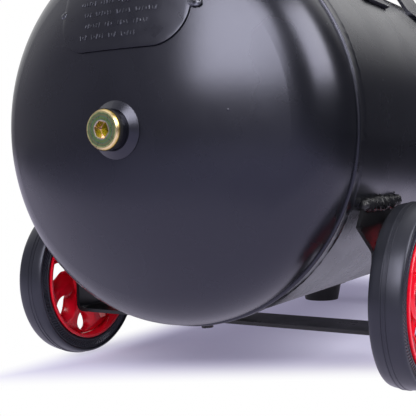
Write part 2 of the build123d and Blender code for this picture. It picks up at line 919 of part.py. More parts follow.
with BuildPart() as crankcase_front:
    with BuildSketch(across(stator_half)):
        Circle(bell_radius)
    extrude(amount=plate_end - stator_half)
    with BuildSketch(across(plate_start)):
        with Locations((0, -motor_drop / 2)):
            Rectangle(2 * damper_y + pad_size, motor_drop)
    extrude(amount=bearing_width)
    with BuildSketch(across(plate_end)):
        Circle(chamber_radius)
    extrude(amount=chamber_end - plate_end)
    with BuildSketch(Plane.XY.offset(motor_z + neck_base_height)):
        with Locations((pump_x + (plate_start + neck_end) / 2, 0)):
            Rectangle(neck_end - plate_start, 2 * neck_half_width)
    extrude(amount=deck_height - neck_base_height)
    with BuildSketch(Plane.XY.offset(motor_z + deck_height)):
        with Locations((pump_x + cylinder_offset, 0)):
            RectangleRounded(deck_size, deck_size, deck_corner)
    extrude(amount=deck_top - deck_height)
    with BuildSketch(Plane.XY.offset(damper_top_z)):
        with Locations(
            (pump_x + damper_spacing / 2, -damper_y), (pump_x + damper_spacing / 2, damper_y)
        ):
            RectangleRounded(pad_size, pad_size, pad_size / 5)
    extrude(amount=pad_thickness)
    with BuildSketch(across(stator_half)):
        Circle(bell_bore)
    extrude(amount=bell_depth, mode=Mode.SUBTRACT)
    with BuildSketch(across(plate_start)):
        Circle(bearing_radius + fit_gap)
    extrude(amount=bearing_width, mode=Mode.SUBTRACT)
    with BuildSketch(across(plate_end)):
        Circle(chamber_bore)
    extrude(amount=chamber_end - plate_end, mode=Mode.SUBTRACT)
    with BuildSketch(Plane.XY.offset(motor_z + neck_base_height / 2)):
        with Locations((pump_x + cylinder_offset, 0)):
            Rectangle(rod_opening_length, rod_opening_width)
    extrude(amount=deck_top, mode=Mode.SUBTRACT)
    with BuildSketch(Plane.XY.offset(motor_z + deck_top)):
        with Locations((pump_x + cylinder_offset, 0)):
            with GridLocations(head_bolt_square_width, head_bolt_square_width, 2, 2):
                Circle(head_bolt_radius + fit_gap)
    extrude(amount=-head_bolt_hold_depth, mode=Mode.SUBTRACT)
    with BuildSketch(Plane.XY.offset(damper_top_z)):
        with Locations((pump_x, 0)):
            with GridLocations(damper_spacing, 2 * damper_y, 2, 2):
                Circle(stud_radius + fit_gap)
    extrude(amount=pad_thickness, mode=Mode.SUBTRACT)

with BuildPart() as crankcase_rear:
    add(mirror(crankcase_front.part, about=pump_middle))

with BuildPart() as crank_eccentrics:
    for side, lift in ((-1, throw_radius), (1, -throw_radius)):
        weight_start = plate_end + weight_gap
        eccentric_start = cylinder_offset - eccentric_width / 2
        with BuildSketch(across(side * weight_start)):
            Circle(weight_radius)
            with Locations((0, lift / throw_radius * weight_radius / 2)):
                Rectangle(2 * weight_radius, weight_radius, mode=Mode.SUBTRACT)
            Circle(2 * shaft_radius)
        extrude(amount=side * (eccentric_start - weight_start))
        with BuildSketch(across(side * eccentric_start)):
            with Locations((0, lift)):
                Circle(eccentric_radius)
        extrude(amount=side * eccentric_width)
    with BuildSketch(across(0)):
        Circle(shaft_radius + fit_gap)
    extrude(amount=shaft_half, both=True, mode=Mode.SUBTRACT)


def make_piston_rod(side, lift):
    """Rod with its big end on the crankpin and a flat piston at the top."""
    middle_x = pump_x + side * cylinder_offset
    pin_z = motor_z + lift
    pin_plane = Plane(origin=(middle_x, 0, pin_z), x_dir=(0, 1, 0), z_dir=(1, 0, 0))
    with BuildPart() as rod:
        with BuildSketch(pin_plane):
            Circle(rod_end_radius)
        extrude(amount=rod_end_width / 2, both=True)
        with BuildSketch(Plane.XY.offset(pin_z)):
            with Locations((middle_x, 0)):
                Rectangle(rod_shank_depth, rod_shank)
        extrude(amount=piston_seat_height)
        with BuildSketch(Plane.XY.offset(pin_z + piston_seat_height)):
            with Locations((middle_x, 0)):
                Circle(cup_radius)
        extrude(amount=cup_thickness)
        with BuildSketch(pin_plane):
            Circle(eccentric_radius + running_gap)
        extrude(amount=rod_end_width, both=True, mode=Mode.SUBTRACT)
    return rod


piston_rod_rear = make_piston_rod(-1, throw_radius)
piston_rod_front = make_piston_rod(1, -throw_radius)

with BuildPart() as cylinder_sleeves:
    with BuildSketch(Plane.XY.offset(motor_z + deck_top)):
        with Locations((pump_x - cylinder_offset, 0), (pump_x + cylinder_offset, 0)):
            Circle(cylinder_bore + cylinder_wall)
            Circle(cylinder_bore, mode=Mode.SUBTRACT)
    extrude(amount=cylinder_height)

with BuildPart() as cylinder_heads:
    with BuildSketch(Plane.XY.offset(head_bottom_z)):
        with Locations((pump_x + cylinder_offset, 0)):
            RectangleRounded(deck_size, deck_size, deck_corner)
    extrude(amount=head_height)
    with BuildSketch(Plane.XY.offset(head_top_z)):
        with Locations((pump_x + cylinder_offset, 0)):
            with GridLocations(fin_pitch, 1, fin_slots, 1):
                Rectangle(fin_slot, deck_size)
            Circle(filter_radius, mode=Mode.SUBTRACT)
    extrude(amount=-fin_depth, mode=Mode.SUBTRACT)
    with BuildSketch(Plane.XY.offset(head_bottom_z)):
        with Locations((pump_x + cylinder_offset, 0)):
            Circle(head_chamber_radius)
    extrude(amount=head_chamber_depth, mode=Mode.SUBTRACT)
    with BuildSketch(Plane.XY.offset(head_bottom_z)):
        with Locations((pump_x + cylinder_offset, 0)):
            with GridLocations(head_bolt_square_width, head_bolt_square_width, 2, 2):
                Circle(head_bolt_radius + fit_gap)
    extrude(amount=head_height, mode=Mode.SUBTRACT)
    with BuildSketch(across(cylinder_offset - deck_size / 2)):
        with Locations((tube_port_y, tube_height)):
            Circle(tube_radius + fit_gap)
    extrude(amount=port_depth, mode=Mode.SUBTRACT)
    mirror(about=pump_middle)
    with BuildSketch(Plane.XZ.offset(-deck_size / 2)):
        with Locations((pump_x + cylinder_offset, motor_z + tube_height)):
            Circle(tube_radius + fit_gap)
    extrude(amount=port_depth, mode=Mode.SUBTRACT)

with BuildPart() as head_bolts:
    with BuildSketch(Plane.XY.offset(motor_z + deck_top - head_bolt_hold_depth)):
        with Locations((pump_x - cylinder_offset, 0), (pump_x + cylinder_offset, 0)):
            with GridLocations(head_bolt_square_width, head_bolt_square_width, 2, 2):
                Circle(head_bolt_radius)
    extrude(amount=head_bolt_hold_depth + cylinder_height + head_height)
    with BuildSketch(Plane.XY.offset(head_top_z)):
        with Locations((pump_x - cylinder_offset, 0), (pump_x + cylinder_offset, 0)):
            with GridLocations(head_bolt_square_width, head_bolt_square_width, 2, 2):
                Circle(head_bolt_cap_radius)
    extrude(amount=head_bolt_cap_height)

with BuildPart() as intake_filters:
    with BuildSketch(Plane.XY.offset(head_top_z)):
        with Locations((pump_x - cylinder_offset, 0), (pump_x + cylinder_offset, 0)):
            Circle(filter_stem_radius)
    extrude(amount=filter_stem)
    with BuildSketch(Plane.XY.offset(head_top_z + filter_stem)):
        with Locations((pump_x - cylinder_offset, 0), (pump_x + cylinder_offset, 0)):
            Circle(filter_radius)
    extrude(amount=filter_height)
    fillet(edges().group_by(Axis.Z)[-1], radius=2)

# Fans and covers

with BuildPart() as cooling_fans:
    with BuildSketch(across(fan_start)):
        Circle(fan_hub_radius)
    extrude(amount=fan_width)
    with Locations(across(fan_start + fan_width / 2)):
        with PolarLocations((fan_hub_radius + fan_radius) / 2, blade_count):
            Box(
                fan_radius - fan_hub_radius + blade_thickness,
                blade_thickness,
                2 * fan_width,
                rotation=(blade_pitch, 0, 0),
            )
    with BuildSketch(across(fan_start)):
        Circle(fan_radius)
    extrude(amount=fan_width, mode=Mode.INTERSECT)
    with BuildSketch(across(fan_start)):
        Circle(shaft_radius + fit_gap)
    extrude(amount=fan_width, mode=Mode.SUBTRACT)
    mirror(about=pump_middle)

with BuildPart() as fan_covers:
    with BuildSketch(across(cover_start)):
        Circle(cover_radius)
        Circle(chamber_radius + fit_gap, mode=Mode.SUBTRACT)
    extrude(amount=cover_wall)
    with BuildSketch(across(cover_start)):
        Circle(cover_radius)
        Circle(cover_radius - cover_wall, mode=Mode.SUBTRACT)
    extrude(amount=cover_end - cover_start)
    with BuildSketch(across(cover_end)):
        Circle(cover_radius)
        with PolarLocations((grille_inner + grille_outer) / 2, grille_count):
            SlotOverall(grille_outer - grille_inner, grille_slot, mode=Mode.SUBTRACT)
    extrude(amount=-cover_wall)
    mirror(about=pump_middle)

# Terminal box

with BuildPart() as terminal_box:
    with BuildSketch(Plane.XY.offset(motor_z + stator_bore)):
        with Locations((pump_x, 0)):
            RectangleRounded(box_length, box_width, box_corner)
    extrude(amount=stator_radius + box_height - stator_bore)
    fillet(edges().group_by(Axis.Z)[-1], radius=2)
    with BuildSketch(across(0)):
        Circle(stator_radius + fit_gap)
    extrude(amount=box_length, both=True, mode=Mode.SUBTRACT)

# Air tubes

tube_z = motor_z + tube_height
outlet_x = pump_x + cylinder_offset
transfer_half = cylinder_offset - deck_size / 2 + port_depth

with BuildPart() as air_tubes:
    with BuildSketch(across(-transfer_half)):
        with Locations((tube_port_y, tube_height)):
            Circle(tube_radius)
            Circle(tube_radius - tube_wall, mode=Mode.SUBTRACT)
    extrude(amount=2 * transfer_half)
    with BuildLine() as delivery:
        FilletPolyline(
            (outlet_x, deck_size / 2 - port_depth, tube_z),
            (outlet_x, tube_reach_y, tube_z),
            (outlet_x, tube_reach_y, check_tube_z),
            (check_x, tube_reach_y, check_tube_z),
            (check_x, check_port_reach - port_depth, check_tube_z),
            radius=tube_bend,
        )
    with BuildSketch(Plane.XZ.offset(-deck_size / 2 + port_depth)):
        with Locations((outlet_x, tube_z)):
            Circle(tube_radius)
            Circle(tube_radius - tube_wall, mode=Mode.SUBTRACT)
    sweep(path=delivery.wires()[0])
    with BuildLine() as signal:
        FilletPolyline(
            (check_x, -small_port_reach + port_depth, small_port_z),
            (check_x, small_tube_y, small_port_z),
            (small_tube_x, small_tube_y, small_port_z),
            (small_tube_x, small_tube_y, switch_z + port_depth),
            radius=small_tube_bend,
        )
    with BuildSketch(Plane.XZ.offset(small_port_reach - port_depth)):
        with Locations((check_x, small_port_z)):
            Circle(small_tube_radius)
    sweep(path=signal.wires()[0])

# Check valve and manifold

with BuildPart() as check_valve:
    with BuildSketch(Plane.XY.offset(tank_top_z - 4 * tank_wall)):
        with Locations((check_x, 0)):
            Circle(shell_port_radius - fit_gap)
    extrude(amount=8 * tank_wall)
    with BuildSketch(Plane.XY.offset(tank_top_z + fit_gap)):
        with Locations((check_x, 0)):
            RegularPolygon(check_flats / 2, 6, major_radius=False, rotation=30)
    extrude(amount=check_height)
    with BuildSketch(Plane.XY.offset(tank_top_z + check_height)):
        with Locations((check_x, 0)):
            RegularPolygon(check_cap_flats / 2, 6, major_radius=False, rotation=15)
    extrude(amount=check_cap_height)
    with BuildSketch(Plane.XZ):
        with Locations((check_x, check_tube_z)):
            Circle(check_port_radius)
    extrude(amount=-check_port_reach)
    with BuildSketch(Plane.XZ):
        with Locations((check_x, small_port_z)):
            Circle(small_port_radius)
    extrude(amount=small_port_reach)
    with BuildSketch(Plane.XZ.offset(-check_port_reach)):
        with Locations((check_x, check_tube_z)):
            Circle(tube_radius + fit_gap)
    extrude(amount=port_depth, mode=Mode.SUBTRACT)
    with BuildSketch(Plane.XZ.offset(small_port_reach)):
        with Locations((check_x, small_port_z)):
            Circle(small_tube_radius + fit_gap)
    extrude(amount=-port_depth, mode=Mode.SUBTRACT)

manifold_plane = Plane.XY.offset(tank_top_z - 4 * tank_wall)
regulator_face = regulator_x - regulator_size / 2

with BuildPart() as manifold:
    with BuildSketch(manifold_plane):
        with Locations((manifold_x, 0)):
            Circle(shell_port_radius - fit_gap)
    extrude(amount=8 * tank_wall)
    with BuildSketch(Plane.XY.offset(tank_top_z + fit_gap)):
        with Locations((manifold_x, 0)):
            Circle(manifold_radius)
    extrude(amount=switch_z - tank_top_z - fit_gap)
    with BuildSketch(Plane.XY.offset(tank_top_z + manifold_hex_start)):
        with Locations((manifold_x, 0)):
            Rectangle(manifold_flats, manifold_flats)
            Rectangle(1.2 * manifold_flats, 1.2 * manifold_flats, 45, mode=Mode.INTERSECT)
    extrude(amount=manifold_hex_height)
    with BuildSketch(Plane.YZ.offset(manifold_x)):
        with Locations((0, port_z)):
            Circle(nipple_radius)
    extrude(amount=regulator_face - manifold_x)

# Pressure switch

switch_x = manifold_x - switch_setback
cover_z = switch_z + switch_base_height
switch_top_z = switch_z + switch_height
gland_x = switch_x - switch_length / 4

with BuildPart() as switch_base:
    with BuildSketch(Plane.XY.offset(switch_z)):
        with Locations((switch_x, 0)):
            RectangleRounded(switch_length, switch_width, switch_corner)
    extrude(amount=switch_base_height)
    with BuildSketch(Plane.XY.offset(switch_z)):
        with Locations((small_tube_x, small_tube_y)):
            Circle(small_tube_radius + fit_gap)
    extrude(amount=port_depth, mode=Mode.SUBTRACT)

with BuildPart() as switch_cover:
    with BuildSketch(Plane.XY.offset(cover_z)):
        with Locations((switch_x, 0)):
            RectangleRounded(switch_length, switch_width, switch_corner)
    extrude(amount=switch_top_z - cover_z)
    fillet(edges().group_by(Axis.Z)[-1], radius=4)
    with BuildSketch(Plane.XY.offset(cover_z)):
        with Locations((switch_x, 0)):
            RectangleRounded(
                switch_length - 2 * switch_wall,
                switch_width - 2 * switch_wall,
                switch_corner - switch_wall,
            )
    extrude(amount=switch_top_z - switch_wall - cover_z, mode=Mode.SUBTRACT)
    with BuildSketch(Plane.XY.offset(switch_top_z)):
        with Locations((switch_x, 0)):
            Circle(knob_stem_radius + running_gap)
    extrude(amount=-2 * switch_wall, mode=Mode.SUBTRACT)
    with BuildSketch(Plane.XZ.offset(-switch_width / 2)):
        with Locations((gland_x, gland_z)):
            Circle(gland_thread_radius)
    extrude(amount=2 * switch_wall, mode=Mode.SUBTRACT)

with BuildPart() as switch_knob:
    with BuildSketch(Plane.XY.offset(switch_top_z + free_gap)):
        with Locations((switch_x, 0)):
            Circle(knob_radius)
    extrude(amount=knob_height)
    fillet(edges().group_by(Axis.Z)[-1], radius=3)
    with BuildSketch(Plane.XY.offset(switch_top_z + free_gap)):
        with Locations((switch_x, 0)):
            Circle(knob_stem_radius)
    extrude(amount=-knob_stem_depth)

with BuildPart() as cable_gland:
    with BuildSketch(Plane.XZ.offset(-switch_width / 2)):
        with Locations((gland_x, gland_z)):
            RegularPolygon(gland_radius, 6)
    extrude(amount=-gland_length / 3)
    with BuildSketch(Plane.XZ.offset(-switch_width / 2)):
        with Locations((gland_x, gland_z)):
            Circle(gland_radius * 0.85)
    extrude(amount=-gland_length)
    fillet(edges().group_by(Axis.Y)[-1], radius=2)
    with BuildSketch(Plane.XZ.offset(-switch_width / 2)):
        with Locations((gland_x, gland_z)):
            Circle(gland_bore)
    extrude(amount=-gland_length, mode=Mode.SUBTRACT)

# Regulator

bonnet_z = port_z + regulator_size / 2
regulator_knob_z = bonnet_z + bonnet_height + free_gap

with BuildPart() as regulator_body:
    with BuildSketch(Plane.XY.offset(port_z - regulator_size / 2)):
        with Locations((regulator_x, 0)):
            RectangleRounded(regulator_size, regulator_size, regulator_corner)
    extrude(amount=regulator_size)
    with BuildSketch(Plane.XY.offset(bonnet_z)):
        with Locations((regulator_x, 0)):
            Circle(bonnet_radius)
    extrude(amount=bonnet_height)
    with BuildSketch(Plane.XY.offset(bonnet_z + bonnet_height)):
        with Locations((regulator_x, 0)):
            Circle(regulator_stem_radius + running_gap)
    extrude(amount=-2 * bonnet_height, mode=Mode.SUBTRACT)

with BuildPart() as regulator_knob:
    with BuildSketch(Plane.XY.offset(regulator_knob_z)):
        with Locations((regulator_x, 0)):
            Circle(regulator_knob_radius)
            with PolarLocations(regulator_knob_radius, knob_flutes):
                Circle(flute_radius, mode=Mode.SUBTRACT)
    extrude(amount=regulator_knob_height)
    with BuildSketch(Plane.XY.offset(regulator_knob_z)):
        with Locations((regulator_x, 0)):
            Circle(regulator_stem_radius)
    extrude(amount=-1.5 * bonnet_height)

# Gauges


def gauge_plane(x, depth):
    """Plane facing -Y at a depth behind the front of a gauge."""
    return Plane(origin=(x, gauge_face_y + depth, port_z), x_dir=(1, 0, 0), z_dir=(0, -1, 0))


gauge_bore = gauge_radius - gauge_wall
dial_face = dial_depth - dial_thickness
gauge_seats = ((manifold_x, manifold_flats / 2), (regulator_x, regulator_size / 2))

with BuildPart() as gauge_cases:
    for x, seat in gauge_seats:
        with BuildSketch(gauge_plane(x, 0)):
            Circle(gauge_radius)
        extrude(amount=-gauge_depth)
        with BuildSketch(gauge_plane(x, 0)):
            Circle(gauge_bore)
        extrude(amount=-(gauge_depth - gauge_wall), mode=Mode.SUBTRACT)
        with BuildSketch(gauge_plane(x, gauge_depth)):
            Circle(gauge_stem_radius)
        extrude(amount=-(-seat - gauge_face_y - gauge_depth))

with BuildPart() as gauge_dials:
    for x, seat in gauge_seats:
        with BuildSketch(gauge_plane(x, dial_face)):
            Circle(gauge_bore - fit_gap)
            Circle(pointer_pin_radius + running_gap, mode=Mode.SUBTRACT)
        extrude(amount=-dial_thickness)

with BuildPart() as gauge_lenses:
    for x, seat in gauge_seats:
        with BuildSketch(gauge_plane(x, lens_set_back)):
            Circle(gauge_bore - fit_gap)
        extrude(amount=-lens_thickness)


def make_pointer(x):
    """Pointer at the zero of its dial, with a hub and a pin through the dial."""
    with BuildPart() as pointer:
        with BuildSketch(gauge_plane(x, dial_face - pointer_lift)):
            Circle(pointer_hub_radius)
            with Locations(Location((0, 0), -135)):
                with Locations(((pointer_length - pointer_tail) / 2, 0)):
                    Rectangle(pointer_length + pointer_tail, pointer_width)
        extrude(amount=pointer_thickness)
        with BuildSketch(gauge_plane(x, dial_face - pointer_lift)):
            Circle(pointer_pin_radius)
        extrude(amount=-(pointer_lift + dial_thickness))
    return pointer


gauge_pointer_tank = make_pointer(manifold_x)
gauge_pointer_line = make_pointer(regulator_x)

# Safety valve

safety_face_y = manifold_flats / 2
safety_end_y = safety_face_y + safety_hex + safety_barrel
ring_middle_y = safety_end_y + free_gap + safety_wire_radius + safety_ring_radius

with BuildPart() as safety_valve_body:
    with BuildSketch(Plane.XZ.offset(-safety_face_y)):
        with Locations((manifold_x, port_z)):
            RegularPolygon(safety_flats / 2, 6, major_radius=False)
    extrude(amount=-safety_hex)
    with BuildSketch(Plane.XZ.offset(-safety_face_y - safety_hex)):
        with Locations((manifold_x, port_z)):
            Circle(safety_barrel_radius)
    extrude(amount=-safety_barrel)
    with BuildSketch(Plane.XZ.offset(-safety_end_y)):
        with Locations((manifold_x, port_z)):
            Circle(safety_stem_radius + running_gap)
    extrude(amount=safety_stem_in + 2, mode=Mode.SUBTRACT)

with BuildPart() as safety_valve_ring:
    with BuildSketch(Plane.XZ.offset(safety_stem_in - safety_end_y)):
        with Locations((manifold_x, port_z)):
            Circle(safety_stem_radius)
    extrude(amount=-(safety_stem_in + free_gap + 2 * safety_wire_radius))
    with Locations((manifold_x, ring_middle_y, port_z)):
        Torus(safety_ring_radius, safety_wire_radius)

# Outlet coupler

coupler_face_x = regulator_x + regulator_size / 2
barrel_start_x = coupler_face_x + coupler_hex
barrel_end_x = barrel_start_x + coupler_barrel

with BuildPart() as coupler_body:
    with BuildSketch(Plane.YZ.offset(coupler_face_x)):
        with Locations((0, port_z)):
            RegularPolygon(coupler_flats / 2, 6, major_radius=False)
    extrude(amount=coupler_hex)
    with BuildSketch(Plane.YZ.offset(barrel_start_x)):
        with Locations((0, port_z)):
            Circle(coupler_barrel_radius)
    extrude(amount=coupler_barrel)
    with BuildSketch(Plane.YZ.offset(barrel_end_x)):
        with Locations((0, port_z)):
            Circle(coupler_bore)
    extrude(amount=-coupler_bore_depth, mode=Mode.SUBTRACT)

with BuildPart() as coupler_sleeve:
    with BuildSketch(Plane.YZ.offset(barrel_end_x - sleeve_set_back)):
        with Locations((0, port_z)):
            Circle(sleeve_radius)
    extrude(amount=-sleeve_length)
    chamfer(edges().group_by(Axis.X)[0] + edges().group_by(Axis.X)[-1], length=1)
    with BuildSketch(Plane.YZ.offset(barrel_end_x)):
        with Locations((0, port_z)):
            Circle(coupler_barrel_radius + running_gap)
    extrude(amount=-coupler_barrel, mode=Mode.SUBTRACT)

# Handle

with BuildPart() as handle_tube:
    with BuildLine() as hoop:
        FilletPolyline(
            (handle_root_x, -handle_half_width, handle_root_z),
            (handle_bar_x, -handle_half_width, handle_bar_z),
            (handle_bar_x, handle_half_width, handle_bar_z),
            (handle_root_x, handle_half_width, handle_root_z),
            radius=handle_bend,
        )
    with BuildSketch(Plane(origin=hoop.line @ 0, z_dir=hoop.line % 0)):
        Circle(handle_radius)
        Circle(handle_radius - handle_wall, mode=Mode.SUBTRACT)
    sweep()
    with BuildSketch(Plane.YZ):
        with Locations((0, tank_axis_z)):
            Circle(shell_radius + fit_gap)
    extrude(amount=seam_x, mode=Mode.SUBTRACT)

with BuildPart() as handle_grip:
    with BuildSketch(Plane.XZ.offset(-grip_length / 2)):
        with Locations((handle_bar_x, handle_bar_z)):
            Circle(grip_radius)
            Circle(handle_radius + fit_gap, mode=Mode.SUBTRACT)
    extrude(amount=grip_length)

# Export

pieces = {
    "tank_shell": tank_shell,
    "rear_head": rear_head,
    "front_head": front_head,
    "weld_beads": weld_beads,
    "inspection_bosses": inspection_bosses,
    "plug_seals": plug_seals,
    "inspection_plugs": inspection_plugs,
    "data_plate": data_plate,
    "axle_bracket": axle_bracket,
    "wheel_rim_left": wheel_rim_left,
    "wheel_rim_right": wheel_rim_right,
    "tyre_left": tyre_left,
    "tyre_right": tyre_right,
    "axle_bolts": axle_bolts,
    "axle_washers": axle_washers,
    "axle_nuts": axle_nuts,
    "foot_bracket": foot_bracket,
    "rubber_feet": rubber_feet,
    "foot_screws": foot_screws,
    "drain_valve_body": drain_valve_body,
    "drain_screw": drain_screw,
    "pump_saddles": pump_saddles,
    "rubber_dampers": rubber_dampers,
    "damper_bolts": damper_bolts,
    "motor_stator": motor_stator,
    "motor_rotor": motor_rotor,
    "motor_shaft": motor_shaft,
    "shaft_bearings": shaft_bearings,
    "crankcase_rear": crankcase_rear,
    "crankcase_front": crankcase_front,
    "crank_eccentrics": crank_eccentrics,
    "piston_rod_rear": piston_rod_rear,
    "piston_rod_front": piston_rod_front,
    "cylinder_sleeves": cylinder_sleeves,
    "cylinder_heads": cylinder_heads,
    "head_bolts": head_bolts,
    "intake_filters": intake_filters,
    "cooling_fans": cooling_fans,
    "fan_covers": fan_covers,
    "terminal_box": terminal_box,
    "air_tubes": air_tubes,
    "check_valve": check_valve,
    "manifold": manifold,
    "switch_base": switch_base,
    "switch_cover": switch_cover,
    "switch_knob": switch_knob,
    "cable_gland": cable_gland,
    "regulator_body": regulator_body,
    "regulator_knob": regulator_knob,
    "gauge_cases": gauge_cases,
    "gauge_dials": gauge_dials,
    "gauge_pointer_tank": gauge_pointer_tank,
    "gauge_pointer_line": gauge_pointer_line,
    "gauge_lenses": gauge_lenses,
    "safety_valve_body": safety_valve_body,
    "safety_valve_ring": safety_valve_ring,
    "coupler_body": coupler_body,
    "coupler_sleeve": coupler_sleeve,
    "handle_tube": handle_tube,
    "handle_grip": handle_grip,
}

for name, piece in pieces.items():
    piece.part.label = name
    export_step(piece.part, f"parts/{name}.step")
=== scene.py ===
# %% [markdown]
# # A wheeled air compressor
# A horizontal steel tank stands on two wheels and two rubber feet, and carries a small pump. The
# frame holds every solid of the machine at its real size, in metres. This lesson gives each solid
# its finish, and replaces the ones whose real surface is softer or finer than a plain solid:
# tyres, wheels, welds, the data plate and the grip. Blender could draw the whole machine, but
# the solids carry its exact sizes and joints, so they stay wherever they look right.

# %% Load the frame
import math

import bmesh
import bpy
from mathutils import Matrix, Vector, noise


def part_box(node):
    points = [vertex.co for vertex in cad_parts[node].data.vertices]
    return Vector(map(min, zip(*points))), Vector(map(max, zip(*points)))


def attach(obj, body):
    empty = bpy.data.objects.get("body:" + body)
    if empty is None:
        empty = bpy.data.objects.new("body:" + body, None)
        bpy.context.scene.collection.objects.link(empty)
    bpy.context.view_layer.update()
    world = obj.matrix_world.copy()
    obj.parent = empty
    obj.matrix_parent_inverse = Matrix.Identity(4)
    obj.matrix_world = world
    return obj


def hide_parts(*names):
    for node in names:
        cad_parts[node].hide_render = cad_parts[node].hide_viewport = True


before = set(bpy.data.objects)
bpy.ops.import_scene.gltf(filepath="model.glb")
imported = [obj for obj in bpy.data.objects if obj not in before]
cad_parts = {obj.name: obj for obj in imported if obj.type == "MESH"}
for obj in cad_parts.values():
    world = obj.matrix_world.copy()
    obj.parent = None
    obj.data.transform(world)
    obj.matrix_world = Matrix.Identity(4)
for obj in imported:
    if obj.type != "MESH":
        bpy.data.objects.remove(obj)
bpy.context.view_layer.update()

# %% [markdown]
# ## Places
# Sizes are written in millimetres, as on a drawing, and one factor turns them into Blender's
# metres. Places could be typed in the same way, but a typed place goes stale when a solid moves.
# They come from the boxes of the frame's own nodes instead, so a piece always lands on the
# solid it belongs to.

# %% Units and places
MM = 0.001


def box_middle(node):
    """Centre of a node's box."""
    low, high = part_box(node)
    return (Vector(low) + Vector(high)) / 2


tank_middle = box_middle("tank_shell")
seam_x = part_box("tank_shell")[1][0]
shell_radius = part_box("tank_shell")[1][2] - tank_middle.z
axle = box_middle("tyre_left")
tyre_inner_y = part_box("tyre_left")[0][1]
tyre_outer_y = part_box("tyre_left")[1][1]
print("shell radius:", round(shell_radius, 4), "seam at:", round(seam_x, 4))

# %% [markdown]
# ## Colours
# Paint charts give colours as sRGB hex values, and shaders work in linear light. A plain power
# of 2.2 comes close, but it makes the darkest tones darker still, and this machine is mostly
# black. The exact curve is one line longer and keeps them right.

# %% Hex colours
def hex_colour(text):
    """Linear RGBA of an sRGB hex value."""
    channels = [int(text[i : i + 2], 16) / 255 for i in (0, 2, 4)]
    linear = [c / 12.92 if c <= 0.04045 else ((c + 0.055) / 1.055) ** 2.4 for c in channels]
    return (*linear, 1.0)


print("the paint's black in linear light:", round(hex_colour("0c0d11")[0], 5))

# %% [markdown]
# ## Material nodes
# A material is a small graph of nodes. Written out, every node takes a line for itself and one
# more for each value and link. One function does all three from two short lists, so that the
# graph can be read from top to bottom.

# %% Adding a node
def add_node(material, kind, settings=None, links=None):
    """A new node: settings are properties, input values or colour stops, links its inputs."""
    node = material.node_tree.nodes.new(kind)
    for name, value in (settings or {}).items():
        if name == "stops":
            while len(node.color_ramp.elements) < len(value):
                node.color_ramp.elements.new(1.0)
            for element, (place, colour) in zip(node.color_ramp.elements, value):
                element.position = place
                element.color = hex_colour(colour)
        elif hasattr(node, str(name)):
            setattr(node, name, value)
        else:
            node.inputs[name].default_value = value
    for name, source in (links or {}).items():
        material.node_tree.links.new(source, node.inputs[name])
    return node


print("node helper:", add_node.__doc__)

# %% [markdown]
# Every finish starts as one Principled shader. Values that are the same all over the piece, such
# as the index of refraction, sit on its own sockets, and what varies is wired to them.

# %% Starting a material
def new_material(name, values):
    """A material with one Principled shader, whose even values are set on its sockets."""
    material = bpy.data.materials.new(name)
    material.use_nodes = True
    shader = material.node_tree.nodes["Principled BSDF"]
    for socket, value in values.items():
        shader.inputs[socket].default_value = value
    return material, shader


def wire(material, source, shader, socket):
    """Links a node's output to a socket of the shader."""
    material.node_tree.links.new(source, shader.inputs[socket])


print("material helpers:", new_material.__name__, "and", wire.__name__)

# %% [markdown]
# ## Grain, drift and shades
# No real surface is perfectly smooth or even. Most finishes on a machine share a fine grain that
# tilts the surface a little. It could be modelled, but it is far too fine for that, so a noise
# bends the light through a Bump node. The grain's size in millimetres sets the noise scale,
# because a noise of scale 1 has features about one metre wide.

# %% Grain
def grain(material, shader, size_mm, depth_mm, strength=1.0, detail=3.0):
    """Bump from a noise whose lumps are size_mm wide and depth_mm high."""
    lumps = add_node(
        material,
        "ShaderNodeTexNoise",
        {"Scale": 1 / (size_mm * MM), "Detail": detail},
        {"Vector": add_node(material, "ShaderNodeTexCoord").outputs["Object"]},
    )
    bump = add_node(
        material,
        "ShaderNodeBump",
        {"Strength": strength, "Distance": depth_mm * MM},
        {"Height": lumps.outputs["Fac"]},
    )
    wire(material, bump.outputs["Normal"], shader, "Normal")
    return bump


print("grain helper:", grain.__doc__)

# %% [markdown]
# Gloss and shade also drift slowly, where a coat is thicker or a mould more worn. Painted maps
# would need the surface unrolled first. A noise in object space needs no unrolling, and it fits
# every piece. Nearly all of a noise lies between 0.3 and 0.7, so that span is stretched over the
# wanted values.

# %% Drift and shades
noise_low = 0.3
noise_high = 0.7


def drift(material, shader, size_mm, low, high, socket="Roughness"):
    """Lets a value wander between low and high over patches of size_mm."""
    patches = add_node(
        material,
        "ShaderNodeTexNoise",
        {"Scale": 1 / (size_mm * MM), "Detail": 4.0},
        {"Vector": add_node(material, "ShaderNodeTexCoord").outputs["Object"]},
    )
    span = add_node(
        material,
        "ShaderNodeMapRange",
        {"From Min": noise_low, "From Max": noise_high, "To Min": low, "To Max": high},
        {"Value": patches.outputs["Fac"]},
    )
    wire(material, span.outputs["Result"], shader, socket)


def shades(material, shader, size_mm, stops):
    """Colour that wanders through the stops over patches of size_mm."""
    patches = add_node(
        material,
        "ShaderNodeTexNoise",
        {"Scale": 1 / (size_mm * MM), "Detail": 5.0},
        {"Vector": add_node(material, "ShaderNodeTexCoord").outputs["Object"]},
    )
    ramp = add_node(
        material, "ShaderNodeValToRGB", {"stops": stops}, {"Fac": patches.outputs["Fac"]}
    )
    wire(material, ramp.outputs["Color"], shader, "Base Color")


print("noise span:", noise_low, "to", noise_high)
